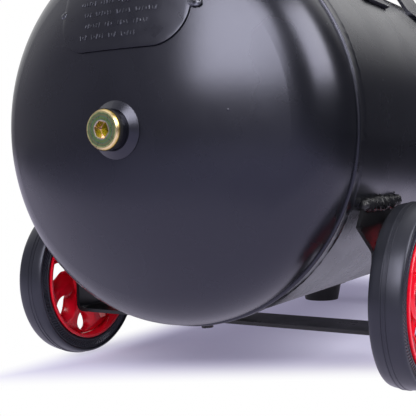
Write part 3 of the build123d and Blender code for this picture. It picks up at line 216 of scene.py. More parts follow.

# %% [markdown]
# ## Powder coat on the tank
# The tank is sprayed with a black powder that melts in an oven. It flows out to a semi-gloss
# skin with a faint orange peel, lumps about three millimetres wide. Steel under paint looks like
# a dielectric, so it isn't metallic. The coat reflects a little more than plain paint, which the
# shader's specular level gives without a second layer. The cool tint of its reflections is
# painted: the specular tint stands for the room's lilac light, and so does the faint blue of its
# black colours.

# %% Powder coat
# The specular tint is painted: a lilac cast in the coat's reflections that stands for the room's
# lilac light.
coat_gloss_with_painted_tint = {"IOR": 1.5, "Specular IOR Level": 0.74, "Specular Tint": hex_colour("e4e4fc")}
coat_shades = [(0.35, "0c0d11"), (0.7, "111217")]
powder_coat, shader = new_material("powder_coat_black", coat_gloss_with_painted_tint)
shades(powder_coat, shader, 90, coat_shades)
drift(powder_coat, shader, 45, 0.24, 0.3)
peel = grain(powder_coat, shader, 3.2, 0.05, strength=0.5, detail=1.5)
print("material:", powder_coat.name)

# %% [markdown]
# Here and there a speck of dust is trapped under the coat. Little spheres would do it, but a
# Voronoi texture is simpler: its distance is nought at scattered points, and only the last bit
# round each point is turned into a small hill on top of the orange peel.

# %% Dust specks
speck_pitch = 26
speck_share = 0.035
speck_height = 0.3
specks = add_node(
    powder_coat,
    "ShaderNodeTexVoronoi",
    {"Scale": 1 / (speck_pitch * MM)},
    {"Vector": add_node(powder_coat, "ShaderNodeTexCoord").outputs["Object"]},
)
speck_hill = add_node(
    powder_coat,
    "ShaderNodeMapRange",
    {"From Min": 0.0, "From Max": speck_share, "To Min": 1.0, "To Max": 0.0},
    {"Value": specks.outputs["Distance"]},
)
speck_bump = add_node(
    powder_coat,
    "ShaderNodeBump",
    {"Strength": 0.6, "Distance": speck_height * MM},
    {"Height": speck_hill.outputs["Result"], "Normal": peel.outputs["Normal"]},
)
wire(powder_coat, speck_bump.outputs["Normal"], shader, "Normal")
print("specks: one in about", speck_pitch, "mm")

# %% [markdown]
# The brackets are cut and bent from strip, then painted with the tank. Their coat is thinner at
# the edges and a little rougher. Over a weld the same coat lies on ripples and spatter. The two
# could share the tank's material, but their grain is finer and their gloss less even, and that
# is what tells the eye that they are other pieces.

# %% Painted strip and painted weld
strip_paint, shader = new_material("painted_steel_strip", {"IOR": 1.5})
shades(strip_paint, shader, 40, [(0.35, "0a0a0c"), (0.7, "101013")])
drift(strip_paint, shader, 20, 0.26, 0.36)
grain(strip_paint, shader, 1.6, 0.06, strength=0.6)

weld_paint, shader = new_material("painted_weld", {"IOR": 1.5, "Specular IOR Level": 0.6})
shades(weld_paint, shader, 6, [(0.3, "0c0c0e"), (0.75, "1c1c20")])
drift(weld_paint, shader, 4, 0.2, 0.4)
grain(weld_paint, shader, 1.8, 0.5, strength=0.9, detail=4.0)
print("materials:", strip_paint.name, weld_paint.name)

# %% [markdown]
# The data plate is thin sheet under the tank's own coat, a little rougher and with smaller
# patches. Its tacks are weld metal with thin paint, in dark and bright patches that wander at
# random, and its raised strokes are rubbed. Their lighter, half-metallic paint is also a painted
# glint, which stands for the light that their edges catch. Paint and bare metal could be mixed by
# a mask. At this size one half-metallic shader gives the same look.

# %% Plate paint and weld metal
# The plate shares the tank's painted lilac tint in its reflections.
plate_paint, shader = new_material("painted_steel_sheet", coat_gloss_with_painted_tint)
shades(plate_paint, shader, 30, coat_shades)
drift(plate_paint, shader, 12, 0.26, 0.34)
grain(plate_paint, shader, 1.8, 0.05, strength=0.5)

weld_metal, shader = new_material("thinly_painted_weld_metal", {"Metallic": 0.6})
shades(weld_metal, shader, 3, [(0.35, "1c1c20"), (0.55, "5c5d66"), (0.7, "a0a2ac")])
drift(weld_metal, shader, 3, 0.25, 0.4)
grain(weld_metal, shader, 1.4, 0.25, strength=0.7)

# The strokes' paint is rubbed, and also painted lighter as a painted glint.
rubbed_paint_and_painted_glint, shader = new_material("rubbed_raised_paint_and_painted_glint", {"Metallic": 0.35})
shades(rubbed_paint_and_painted_glint, shader, 3, [(0.35, "34353c"), (0.7, "5a5b66")])
drift(rubbed_paint_and_painted_glint, shader, 2, 0.24, 0.34)
grain(rubbed_paint_and_painted_glint, shader, 1.0, 0.03, strength=0.4)
print("materials:", plate_paint.name, weld_metal.name, rubbed_paint_and_painted_glint.name)

# %% [markdown]
# ## Yellow zinc
# The inspection plugs are turned steel, zinc plated and then passivated in a bath that leaves a
# thin yellow film. The film's colour changes with its thickness: green on the flat face, gold and
# pink on the chamfers where it is thicker. A thin-film shader could work the colours out, but
# the thickness isn't known. Here the colour follows the distance from the plug's axis: a
# Mapping node flattens the coordinates along it, and the length of what is left is the distance.

# %% Distance from the plug's axis
yellow_zinc, shader = new_material("yellow_zinc_plating", {"Metallic": 1.0})
from_axis = add_node(
    yellow_zinc,
    "ShaderNodeMapping",
    {"Location": (0, 0, -tank_middle.z), "Scale": (0, 1, 1)},
    {"Vector": add_node(yellow_zinc, "ShaderNodeTexCoord").outputs["Object"]},
)
radius = add_node(
    yellow_zinc,
    "ShaderNodeVectorMath",
    {"operation": "LENGTH"},
    {"Vector": from_axis.outputs["Vector"]},
)
print("material:", yellow_zinc.name)

# %% [markdown]
# The film is never even, so its bands wander. A noise added to the colour itself would only make
# it dirty. Added to the distance instead, it moves the borders of the bands to and fro, as drops
# of the bath do when they run off.

# %% Blotches in the film
plug_radius = 14.0
blotch_size = 3.0
film_wander = 1.6
blotches = add_node(
    yellow_zinc,
    "ShaderNodeTexNoise",
    {"Scale": 1 / (blotch_size * MM), "Detail": 6.0, "Roughness": 0.7},
    {"Vector": add_node(yellow_zinc, "ShaderNodeTexCoord").outputs["Object"]},
)
wander = add_node(
    yellow_zinc,
    "ShaderNodeMath",
    {"operation": "MULTIPLY_ADD", 1: film_wander * MM, 2: -film_wander / 2 * MM},
    {0: blotches.outputs["Fac"]},
)
uneven_radius = add_node(
    yellow_zinc,
    "ShaderNodeMath",
    {"operation": "ADD"},
    {0: radius.outputs["Value"], 1: wander.outputs["Value"]},
)
film_place = add_node(
    yellow_zinc,
    "ShaderNodeMapRange",
    {"From Min": 0.0, "From Max": plug_radius * MM, "To Min": 0.0, "To Max": 1.0},
    {"Value": uneven_radius.outputs["Value"]},
)
print("bands wander by", film_wander, "mm")

# %% [markdown]
# The stops run from the axis outwards: the dark socket, its pale chamfer, the green face with
# its fainter bands, the gold chamfer and the rim. The piece's own radius is the ruler, so that a
# stop at one half lies half way out.

# %% The film's colours
film = add_node(
    yellow_zinc,
    "ShaderNodeValToRGB",
    {
        "stops": [
            (0.0, "5f5c10"),
            (0.36, "86821e"),
            (0.43, "f0d2c4"),
            (0.5, "86a884"),
            (0.58, "93aa62"),
            (0.65, "7da486"),
            (0.73, "a79c74"),
            (0.8, "7fa676"),
            (0.87, "f4e9a4"),
            (0.93, "f6dcae"),
            (1.0, "c8ab56"),
        ]
    },
    {"Fac": film_place.outputs["Result"]},
)
wire(yellow_zinc, film.outputs["Color"], shader, "Base Color")
drift(yellow_zinc, shader, 2.5, 0.22, 0.4)
print("colour stops:", len(film.color_ramp.elements))

# %% [markdown]
# The lathe's tool leaves rings half a millimetre apart. Modelled rings would be thousands of
# faces, and a ring-shaped wave texture shows the same. At scale 1 a wave advances by 20 radians
# in a metre, which gives the scale for a pitch in millimetres.

# %% Lathe rings
wave_turn = 20
tool_pitch = 0.5
ring_depth = 0.03
lathe_rings = add_node(
    yellow_zinc,
    "ShaderNodeTexWave",
    {
        "wave_type": "RINGS",
        "rings_direction": "X",
        "Scale": 2 * math.pi / (wave_turn * tool_pitch * MM),
        "Distortion": 1.5,
    },
    {"Vector": from_axis.outputs["Vector"]},
)
ring_bump = add_node(
    yellow_zinc,
    "ShaderNodeBump",
    {"Strength": 0.25, "Distance": ring_depth * MM},
    {"Height": lathe_rings.outputs["Fac"]},
)
wire(yellow_zinc, ring_bump.outputs["Normal"], shader, "Normal")
print("lathe rings every", tool_pitch, "mm")

# %% [markdown]
# ## Rubber
# Rubber is carbon black in a soft matrix: dark, and satin from the mould. The tyres come from a
# smoother mould than the feet, seals and dampers, so one rubber for all would look wrong. The
# tyres' slight blue where light grazes them is painted: a lilac specular tint stands for the
# room's lilac light, and leaves the black untinted.

# %% Rubber
# The specular tint is painted: a lilac cast in the tyres' reflections that stands for the room's
# light.
tyre_rubber, shader = new_material(
    "moulded_tyre_rubber", {"IOR": 1.52, "Specular Tint": hex_colour("e4e4fc")}
)
shades(tyre_rubber, shader, 35, [(0.35, "1d1e23"), (0.7, "26272d")])
drift(tyre_rubber, shader, 18, 0.3, 0.4)
grain(tyre_rubber, shader, 0.9, 0.05, strength=0.5)

plain_rubber, shader = new_material("moulded_rubber", {"IOR": 1.52})
shades(plain_rubber, shader, 20, [(0.35, "121214"), (0.7, "1a1a1c")])
drift(plain_rubber, shader, 10, 0.45, 0.6)
grain(plain_rubber, shader, 1.2, 0.08, strength=0.5)
print("materials:", tyre_rubber.name, plain_rubber.name)

# %% [markdown]
# ## Plastics
# The same polymer looks glossy or dull by its mould alone, so the grain and the roughness tell
# these apart, not the colour. A clear coat isn't needed: the gloss is the polymer's own.

# %% Plastics
# From a polished mould: glossy, with long soft waves.
rim_plastic, shader = new_material("glossy_red_polypropylene", {"IOR": 1.49})
shades(rim_plastic, shader, 60, [(0.35, "e60c26"), (0.7, "f0122c")])
drift(rim_plastic, shader, 25, 0.12, 0.22)
grain(rim_plastic, shader, 4.0, 0.04, strength=0.4, detail=1.0)

# From a spark-eroded mould: dull, with a fine even texture.
black_plastic, shader = new_material("textured_black_abs", {"IOR": 1.53})
shades(black_plastic, shader, 50, [(0.35, "161618"), (0.7, "1c1c1f")])
drift(black_plastic, shader, 25, 0.42, 0.52)
grain(black_plastic, shader, 0.7, 0.06, strength=0.6)

# From a mould blasted with fine beads: satin.
grey_plastic, shader = new_material("satin_grey_abs", {"IOR": 1.53})
shades(grey_plastic, shader, 50, [(0.35, "3b3d42"), (0.7, "43464b")])
drift(grey_plastic, shader, 25, 0.36, 0.46)
grain(grey_plastic, shader, 0.7, 0.05, strength=0.5)

# From a lightly polished mould: a broad clean highlight.
red_plastic, shader = new_material("glossy_red_abs", {"IOR": 1.53})
shades(red_plastic, shader, 50, [(0.35, "b3141a"), (0.7, "bf181e")])
drift(red_plastic, shader, 25, 0.2, 0.3)
grain(red_plastic, shader, 2.5, 0.03, strength=0.4, detail=1.0)
print("plastics:", rim_plastic.name, black_plastic.name, grey_plastic.name, red_plastic.name)

# %% [markdown]
# ## Aluminium and steel
# A metal's colour lies in its reflection, so each is fully metallic and keeps the shader's own
# index of refraction. What tells them apart is how they were made: cast, anodised or ground. The
# pump's castings could be roughened by a displacement, but a bump is enough at this size.

# %% Aluminium and steel
# Cast in a metal mould whose grain shows on the skin: soft and mottled.
cast_aluminium, shader = new_material("cast_aluminium", {"Metallic": 1.0})
shades(cast_aluminium, shader, 25, [(0.35, "a3a5a8"), (0.7, "b8babd")])
drift(cast_aluminium, shader, 12, 0.42, 0.58)
grain(cast_aluminium, shader, 1.3, 0.12, strength=0.7)

# Hard anodised in acid: a dark, even satin.
anodised, shader = new_material("hard_anodised_aluminium", {"Metallic": 1.0})
shades(anodised, shader, 20, [(0.35, "5c5e63"), (0.7, "6c6e73")])
drift(anodised, shader, 10, 0.32, 0.42)
grain(anodised, shader, 0.8, 0.04, strength=0.5)

# Ground with a fine wheel: bright, with little texture.
ground_steel, shader = new_material("ground_steel", {"Metallic": 1.0})
shades(ground_steel, shader, 15, [(0.35, "b9babd"), (0.7, "cbccce")])
drift(ground_steel, shader, 6, 0.2, 0.32)
grain(ground_steel, shader, 0.5, 0.02, strength=0.5)
print("metals:", cast_aluminium.name, anodised.name, ground_steel.name)

# %% [markdown]
# ## Plated metals, brass and copper
# Screws and washers are bright zinc, fittings are turned brass, tubes are drawn copper, and the
# small ring and the coupler's sleeve are chromed. One flat colour would look like plastic, so
# two or three close shades of each metal stand for its tarnish.

# %% Plated metals, brass and copper
# Zinc from a bath: bright, with faint bluish patches.
bright_zinc, shader = new_material("bright_zinc_plating", {"Metallic": 1.0})
shades(bright_zinc, shader, 8, [(0.3, "b7bac2"), (0.5, "c9cbcf"), (0.75, "c4c8cc")])
drift(bright_zinc, shader, 5, 0.22, 0.36)
grain(bright_zinc, shader, 0.8, 0.03, strength=0.5)

# Turned from bar: warm, with a fine satin grain.
brass, shader = new_material("turned_brass", {"Metallic": 1.0})
shades(brass, shader, 12, [(0.3, "c99a4e"), (0.55, "dcae62"), (0.8, "d2a050")])
drift(brass, shader, 6, 0.2, 0.34)
grain(brass, shader, 0.6, 0.03, strength=0.5)

# Drawn through a die, then handled: brownish where it has tarnished.
copper, shader = new_material("drawn_copper", {"Metallic": 1.0})
shades(copper, shader, 14, [(0.3, "b0653f"), (0.55, "c97d55"), (0.8, "a85c3c")])
drift(copper, shader, 8, 0.24, 0.38)
grain(copper, shader, 1.5, 0.02, strength=0.5)

# Polished before it is plated: almost a mirror.
chrome, shader = new_material("chrome_plating", {"Metallic": 1.0})
shades(chrome, shader, 30, [(0.35, "d9dbdf"), (0.7, "e2e4e7")])
drift(chrome, shader, 12, 0.05, 0.1)
print("metals:", bright_zinc.name, brass.name, copper.name, chrome.name)

# %% [markdown]
# ## Laminated stator
# The motor's stator and rotor are packs of thin steel sheets under varnish, so fine lines run
# across the shaft. Hundreds of real sheets would be hundreds of pieces. A wave texture along the
# shaft draws the gaps between them. Real sheets are half a millimetre thick, which is too fine
# to show, so the lines are drawn 1.2 millimetres apart.

# %% Laminated stator
laminations, shader = new_material("varnished_laminations", {"Metallic": 0.7})
shades(laminations, shader, 20, [(0.35, "4a4b4f"), (0.7, "5c5d61")])
drift(laminations, shader, 9, 0.4, 0.55)
lamination_pitch = 1.2
lamination_depth = 0.15
sheets = add_node(
    laminations,
    "ShaderNodeTexWave",
    {
        "bands_direction": "X",
        "Scale": 2 * math.pi / (wave_turn * lamination_pitch * MM),
        "Distortion": 0.3,
    },
    {"Vector": add_node(laminations, "ShaderNodeTexCoord").outputs["Object"]},
)
sheet_bump = add_node(
    laminations,
    "ShaderNodeBump",
    {"Strength": 0.6, "Distance": lamination_depth * MM},
    {"Height": sheets.outputs["Fac"]},
)
wire(laminations, sheet_bump.outputs["Normal"], shader, "Normal")
print("material:", laminations.name)

# %% [markdown]
# ## Dial and glass
# The gauges' dials are white enamel with black printing, behind lenses of clear glass. The
# lenses are real solids with two faces, so plain transmission bends the light as glass does, and
# no trick with transparency is needed.

# %% Dial and glass
dial_enamel, shader = new_material("white_dial_enamel", {"IOR": 1.5})
shades(dial_enamel, shader, 12, [(0.35, "e6e6e0"), (0.7, "ecece7")])
drift(dial_enamel, shader, 8, 0.4, 0.5)

dial_ink, shader = new_material("black_dial_ink", {"IOR": 1.5})
shades(dial_ink, shader, 4, [(0.35, "111113"), (0.7, "161618")])
drift(dial_ink, shader, 3, 0.45, 0.55)

clear_glass, shader = new_material(
    "clear_gauge_glass",
    {"Base Color": hex_colour("f7fafa"), "Transmission Weight": 1.0, "IOR": 1.47},
)
drift(clear_glass, shader, 20, 0.0, 0.03)
print("materials:", dial_enamel.name, dial_ink.name, clear_glass.name)

# %% [markdown]
# ## Finish on every solid
# Each solid keeps its shape and takes the material that the real piece is made of. It could be
# done node by node. A list under each material is shorter, and shows at once what is made of
# the same stuff. Solids that are replaced further down are dressed as well, so that none is
# forgotten.

# %% Assign finishes
finishes = {
    powder_coat: ["tank_shell", "rear_head", "front_head", "inspection_bosses", "pump_saddles"],
    strip_paint: ["axle_bracket", "foot_bracket", "handle_tube", "drain_valve_body",
                  "drain_screw"],
    weld_paint: ["weld_beads"],
    yellow_zinc: ["inspection_plugs"],
    plain_rubber: ["plug_seals", "rubber_feet", "rubber_dampers", "handle_grip"],
    tyre_rubber: ["tyre_left", "tyre_right"],
    rim_plastic: ["wheel_rim_left", "wheel_rim_right"],
    black_plastic: ["fan_covers", "terminal_box", "intake_filters", "switch_cover",
                    "cable_gland", "regulator_knob", "gauge_cases", "cooling_fans"],
    grey_plastic: ["switch_base"],
    red_plastic: ["switch_knob", "gauge_pointer_tank", "gauge_pointer_line"],
    cast_aluminium: ["crankcase_rear", "crankcase_front", "cylinder_heads", "regulator_body",
                     "piston_rod_rear", "piston_rod_front"],
    anodised: ["cylinder_sleeves"],
    laminations: ["motor_stator", "motor_rotor"],
    ground_steel: ["motor_shaft", "shaft_bearings", "crank_eccentrics"],
    bright_zinc: ["axle_bolts", "axle_nuts", "axle_washers", "foot_screws", "damper_bolts",
                  "head_bolts"],
    brass: ["check_valve", "manifold", "safety_valve_body", "coupler_body"],
    copper: ["air_tubes"],
    chrome: ["safety_valve_ring", "coupler_sleeve"],
    dial_enamel: ["gauge_dials"],
    clear_glass: ["gauge_lenses"],
}
for material, nodes in finishes.items():
    for node in nodes:
        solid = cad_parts[node]
        solid.data.materials.clear()
        solid.data.materials.append(material)
named = [node for nodes in finishes.values() for node in nodes]
print("solids finished:", len(named), "left:", set(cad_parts) - set(named))

# %% [markdown]
# ## Making new pieces
# A new piece is drawn in bmesh, then made an object at the origin with its place in its mesh, as
# the frame's own solids are. Operators in the editor could do the same, but they need a
# selection and a mode, and bmesh needs neither. Doubles are merged first and the normals turned
# outwards, and edges sharper than the given angle stay crisp.

# %% New pieces
merge_distance = 0.005


def new_piece(name, shape, material, body, crisp_deg=35):
    """Makes the drawn shape a finished object that rides on a body."""
    bmesh.ops.remove_doubles(shape, verts=shape.verts, dist=merge_distance * MM)
    bmesh.ops.recalc_face_normals(shape, faces=shape.faces)
    mesh = bpy.data.meshes.new(name)
    shape.to_mesh(mesh)
    shape.free()
    mesh.shade_smooth()
    mesh.set_sharp_from_angle(angle=math.radians(crisp_deg))
    mesh.materials.append(material)
    piece = bpy.data.objects.new(name, mesh)
    bpy.context.collection.objects.link(piece)
    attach(piece, body)
    print("piece:", name, "faces:", len(mesh.polygons))
    return piece


print("vertices closer than", merge_distance, "mm are merged")

# %% [markdown]
# Much of the machine is round, and its sections are easy to draw. A stack of cylinders would
# need every one of its edges joined to the next. Spinning the closed section a full turn, as a
# lathe does, gives one skin without a gap.

# %% A lathe
def turn_on_lathe(shape, profile, centre, axis, steps):
    """Spins a closed outline of points a full turn round an axis."""
    points = [shape.verts.new(place) for place in profile]
    edges = [shape.edges.new(pair) for pair in zip(points, points[1:] + points[:1])]
    bmesh.ops.spin(
        shape,
        geom=points + edges,
        cent=centre,
        axis=axis,
        dvec=(0, 0, 0),
        angle=2 * math.pi,
        steps=steps,
        use_merge=True,
    )


print("lathe ready:", turn_on_lathe.__doc__)

# %% [markdown]
# ## Tyres
# Each tyre is a solid rubber ring moulded in two halves. The mould leaves two fine raised lines
# round the tread, a rounded shoulder, a groove on the side face and a band of slanted ribs next
# to the rim. A torus would have none of these. The section is drawn once, as radius and depth
# from a side face, mirrored for the other half, and turned.

# %% Tyre section
tread_half = [
    (72.35, 8.6), (72.0, 5.6), (71.6, 3.4), (71.2, 1.9), (70.7, 0.9), (70.1, 0.25), (69.3, 0.05),
    (68.6, 0.35), (68.2, 0.9), (67.7, 1.15), (67.2, 0.7), (66.8, 0.7), (66.5, 1.15), (61.2, 1.15),
    (60.8, 0.6), (60.0, 0.5), (59.4, 0.75), (58.6, 1.15), (58.2, 2.3), (57.0, 2.6),
]
raised_lines = [
    (72.5, 9.3), (72.98, 9.5), (72.98, 10.4), (72.6, 10.6),
    (72.6, 12.8), (72.98, 13.0), (72.98, 13.9), (72.5, 14.1),
]
tyre_width = (tyre_outer_y - tyre_inner_y) / MM


def wheel_point(side, radius, depth):
    """A point in front of the axle, at a radius and a depth from the tyre's inner face."""
    return axle.x + radius * MM, side * (tyre_inner_y + depth * MM), axle.z


def tyre_outline(side):
    """The tyre's section from seat to seat."""
    inner = [wheel_point(side, r, d) for r, d in reversed(tread_half)]
    middle = [wheel_point(side, r, d) for r, d in raised_lines]
    outer = [wheel_point(side, r, tyre_width - d) for r, d in tread_half]
    return inner + middle + outer


print("points in the section:", len(tyre_outline(1)))

# %% [markdown]
# The slanted ribs could be a bump, but they catch the light on their tops and show against the
# rim, so they are real. There are 132 of them on a side, so each has only the six faces of a
# cube. Its top is narrowed, it is laid across the band and turned, and a spin copies it round.

# %% Rib band
rib_count = 132
rib_length = 5.6
rib_width = 1.5
rib_height = 0.9
rib_top_share = 0.3
rib_slant_deg = 38
rib_band_radius = 63.85


def add_rib_band(shape, side, face_depth, outward):
    """A ring of slanted ribs on one side face of a tyre."""
    rib = bmesh.ops.create_cube(shape, size=MM)["verts"]
    for vert in rib:
        narrow = rib_top_share if vert.co.y * outward > 0 else 1.0
        size = (rib_length, rib_height, rib_width * narrow)
        vert.co = Vector([place * length for place, length in zip(vert.co, size)])
    slant = Matrix.Rotation(math.radians(rib_slant_deg), 4, "Y")
    bmesh.ops.transform(shape, verts=rib, matrix=slant)
    place = Vector(wheel_point(side, rib_band_radius, face_depth))
    bmesh.ops.translate(shape, verts=rib, vec=place)
    faces = {face for vert in rib for face in vert.link_faces}
    bmesh.ops.spin(
        shape,
        geom=list(faces),
        cent=axle,
        axis=(0, 1, 0),
        dvec=(0, 0, 0),
        angle=2 * math.pi * (rib_count - 1) / rib_count,
        steps=rib_count - 1,
        use_duplicate=True,
    )


print("ribs on a side:", rib_count)

# %% [markdown]
# Both tyres come from the same section. The right one could be a mirrored copy of the left, but
# a mirror turns the faces inside out, so the side is a factor of plus or minus one instead. Each
# rides on its wheel, and takes the place of the plain ring.

# %% Both tyres
tyre_steps = 144
rib_seat = 0.85
for side, name in ((1, "left"), (-1, "right")):
    shape = bmesh.new()
    turn_on_lathe(shape, tyre_outline(side), axle, (0, 1, 0), tyre_steps)
    add_rib_band(shape, side, rib_seat, -side)
    add_rib_band(shape, side, tyre_width - rib_seat, side)
    tyre = new_piece("tyre_ribbed_" + name, shape, tyre_rubber, "wheel_" + name)
    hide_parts("tyre_" + name)

# %% [markdown]
# ## Wheels
# A wheel is one moulding in red polypropylene: a barrel with a lip on each side, a hub, and eight
# blades between them like those of a fan. Barrel and hub are round, so they're turned from their
# sections, as radius and depth from the tyre's inner face.

# %% Barrel and hub
barrel_steps = 128
hub_steps = 64
barrel_section = [
    (55.2, -0.5), (55.6, -0.8), (57.3, -0.8), (57.8, -0.3), (57.8, 1.1), (57.5, 1.5),
    (56.7, 1.6), (56.5, 3.0), (56.5, 22.9), (56.7, 24.3), (57.5, 24.4), (57.8, 24.8),
    (57.8, 26.2), (57.3, 26.7), (55.6, 26.7), (55.2, 26.4), (54.6, 25.0), (54.6, 0.9),
]
hub_section = [
    (6.05, -6.2), (15.2, -6.2), (16.0, -5.5), (16.4, 4.0), (18.5, 7.0), (18.5, 14.5),
    (16.2, 15.3), (15.4, 16.0), (6.05, 16.0),
]


def add_turned_part(shape, side, section, steps):
    """Turns one of the wheel's sections round the axle."""
    outline = [wheel_point(side, r, d) for r, d in section]
    turn_on_lathe(shape, outline, axle, (0, 1, 0), steps)


print("points:", len(barrel_section), "in the barrel,", len(hub_section), "in the hub")

# %% [markdown]
# Each blade leans, so that one edge stands near the inner face and the other is deep, and the
# gap beside it looks like a narrow leaf. Eight separate blades would have to be joined to the
# hub and the barrel. One flat disc of rings and spokes is joined from the start, and only its
# vertices move. Its columns are counted in groups of twelve, one group to a blade, and the
# first four columns of each group span the gap.

# %% The blades' layout
blade_count = 8
columns = 12
gap_columns = 4
column_deg = 360 / (blade_count * columns)
ring_radii = [15.0, 21.0, 27.0, 32.0, 35.0, 38.5, 42.0, 45.5, 48.5, 51.0, 54.6]
gap_rings = (3, 9)
blade_middle = 10.0
print("columns on the disc:", blade_count * columns, "rings:", len(ring_radii))

# %% [markdown]
# The gap's half width follows a sine from ring to ring, which gives the leaf two soft tips. The
# lean follows another, so that the blades run flat into the hub and the barrel. A table of widths
# would do as well, but a sine is smooth by itself.

# %% How a blade's shape changes from ring to ring
leaf_power = 0.6
lean_power = 0.8
lean_first_ring = 0.6
lean_ring_span = 9.2


def leaf(ring):
    """Half width of the gap at a ring, as a share of its widest."""
    along = (ring - gap_rings[0]) / (gap_rings[1] - gap_rings[0])
    return max(0.0, math.sin(math.pi * min(max(along, 0.0), 1.0))) ** leaf_power


def lean_share(ring):
    """How much of the lean a ring takes: little at the hub and the barrel, all between them."""
    along = (ring - lean_first_ring) / lean_ring_span
    return math.sin(math.pi * min(max(along, 0.0), 1.0)) ** lean_power


print("lean at the middle ring:", round(lean_share(5), 2))

# %% [markdown]
# The gap's middle moves round a little from the hub to the barrel, as a fan's blades sweep. From
# the deep edge, a blade climbs over nearly half of its width and then sags slightly to the next
# gap. All this is a change of angle and depth only, so the rings stay true circles.

# %% Where a blade's vertices go
gap_start_deg = 168.0
gap_half_deg = 12.5
gap_least_deg = 1.5
gap_sweep_deg = 7.0
sweep_still = 0.6
blade_lean = 4.6
blade_crest = 0.45
blade_sag = 0.3


def place_blade_vert(side, ring, column):
    """Where a vertex of the flat disc goes on the bladed one."""
    sector, step = divmod(column, columns)
    swept = gap_sweep_deg * (ring / (len(ring_radii) - 1) - sweep_still)
    middle = gap_start_deg + sector * 360 / blade_count + swept
    half = max(gap_half_deg * leaf(ring), gap_least_deg)
    if step <= gap_columns:
        turn = middle - half + 2 * half * step / gap_columns
        rise = 1.0 - 2.0 * step / gap_columns
    else:
        along = (step - gap_columns) / (columns - gap_columns)
        turn = middle + half + (360 / blade_count - 2 * half) * along
        climb = 2.0 * min(along / blade_crest, 1.0)
        rise = -1.0 + climb - blade_sag * max(along - blade_crest, 0.0)
    depth = blade_middle - blade_lean * rise * lean_share(ring)
    radius = ring_radii[ring] * MM
    angle = math.radians(turn)
    return Vector((
        axle.x + radius * math.cos(angle),
        side * (tyre_inner_y + depth * MM),
        axle.z + radius * math.sin(angle),
    ))


print("gap's widest angle:", 2 * gap_half_deg, "degrees")

# %% [markdown]
# The disc is one row of vertices spun round the axle. While it is still flat, the angle and the
# radius of a point tell its column and ring, so the faces of the gaps are chosen first. Then
# every vertex takes its new place, and the chosen faces are deleted.

# %% Cutting and leaning the disc
def disc_place(point):
    """Column and radius in millimetres of a point on the flat disc."""
    out = point - axle
    column = math.degrees(math.atan2(out.z, out.x)) % 360 / column_deg
    return column, math.hypot(out.x, out.z) / MM


def in_gap(face):
    """Whether a face of the flat disc lies in one of the gaps."""
    column, radius = disc_place(face.calc_center_median())
    between_rings = ring_radii[gap_rings[0]] < radius < ring_radii[gap_rings[1]]
    return between_rings and column % columns < gap_columns


def nearest_ring(radius):
    """Number of the ring whose radius is closest."""
    return min(range(len(ring_radii)), key=lambda ring: abs(ring_radii[ring] - radius))


def add_blades(shape, side):
    """Spins the flat disc, leans its blades and opens its gaps."""
    spokes = [shape.verts.new(wheel_point(side, radius, blade_middle)) for radius in ring_radii]
    edges = [shape.edges.new(pair) for pair in zip(spokes, spokes[1:])]
    bmesh.ops.spin(
        shape, geom=spokes + edges, cent=axle, axis=(0, 1, 0), dvec=(0, 0, 0),
        angle=2 * math.pi, steps=blade_count * columns, use_merge=True,
    )
    bmesh.ops.remove_doubles(shape, verts=shape.verts, dist=0.01 * MM)
    gap_faces = [face for face in shape.faces if in_gap(face)]
    for vert in shape.verts:
        column, radius = disc_place(vert.co)
        vert.co = place_blade_vert(side, nearest_ring(radius), round(column))
    bmesh.ops.delete(shape, geom=gap_faces, context="FACES")


print("blade helper:", add_blades.__doc__)

# %% [markdown]
# The blades are a sheet without thickness until two modifiers finish them: Solidify gives the
# moulding's wall, and one level of subdivision rounds the edges. Walls drawn by hand would need
# twice the vertices, and every edge its own bevel.

# %% Both wheels
blade_wall = 2.6
for side, name in ((1, "left"), (-1, "right")):
    body = "wheel_" + name
    shape = bmesh.new()
    add_turned_part(shape, side, barrel_section, barrel_steps)
    add_turned_part(shape, side, hub_section, hub_steps)
    barrel = new_piece("wheel_barrel_" + name, shape, rim_plastic, body)
    shape = bmesh.new()
    add_blades(shape, side)
    blades = new_piece("wheel_blades_" + name, shape, rim_plastic, body, 60)
    wall = blades.modifiers.new("wall", "SOLIDIFY")
    wall.thickness = blade_wall * MM
    wall.offset = 0.0
    round_off = blades.modifiers.new("round_off", "SUBSURF")
    round_off.levels = 1
    round_off.render_levels = 1
    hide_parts("wheel_rim_" + name)
    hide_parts("wheel_rim_" + name)

# %% [markdown]
# ## Girth welds
# The two dished ends are welded to the shell all round. The bead is about thirteen millimetres
# wide and nearly flat, with a rounded edge on either side that catches the light as a thin line.
# A bump would stay flat at the tank's outline, so the bead is a real ring, turned from a section
# of places measured from the seam and heights above the shell.

# %% Girth weld section
bead_section = [
    (-2.9, -1.6), (-2.85, -0.3), (-2.65, 0.35), (-2.3, 0.8), (-1.8, 1.0), (-1.3, 1.0), (0.0, 0.7),
    (3.6, 0.7), (5.6, 0.75), (7.6, 0.75), (9.0, 1.1), (9.6, 1.1), (10.1, 0.6), (10.5, -1.2),
]
print("bead width:", bead_section[-1][0] - bead_section[0][0], "mm")

# %% [markdown]
# The edge on the dished end is clean and smooth, and the rest has a fine ripple from the torch.
# Two sizes of noise, added together, look less regular than one, and they move the turned
# ring's vertices in and out. A third moves them along the tank, so that the edges don't look
# drawn with compasses.

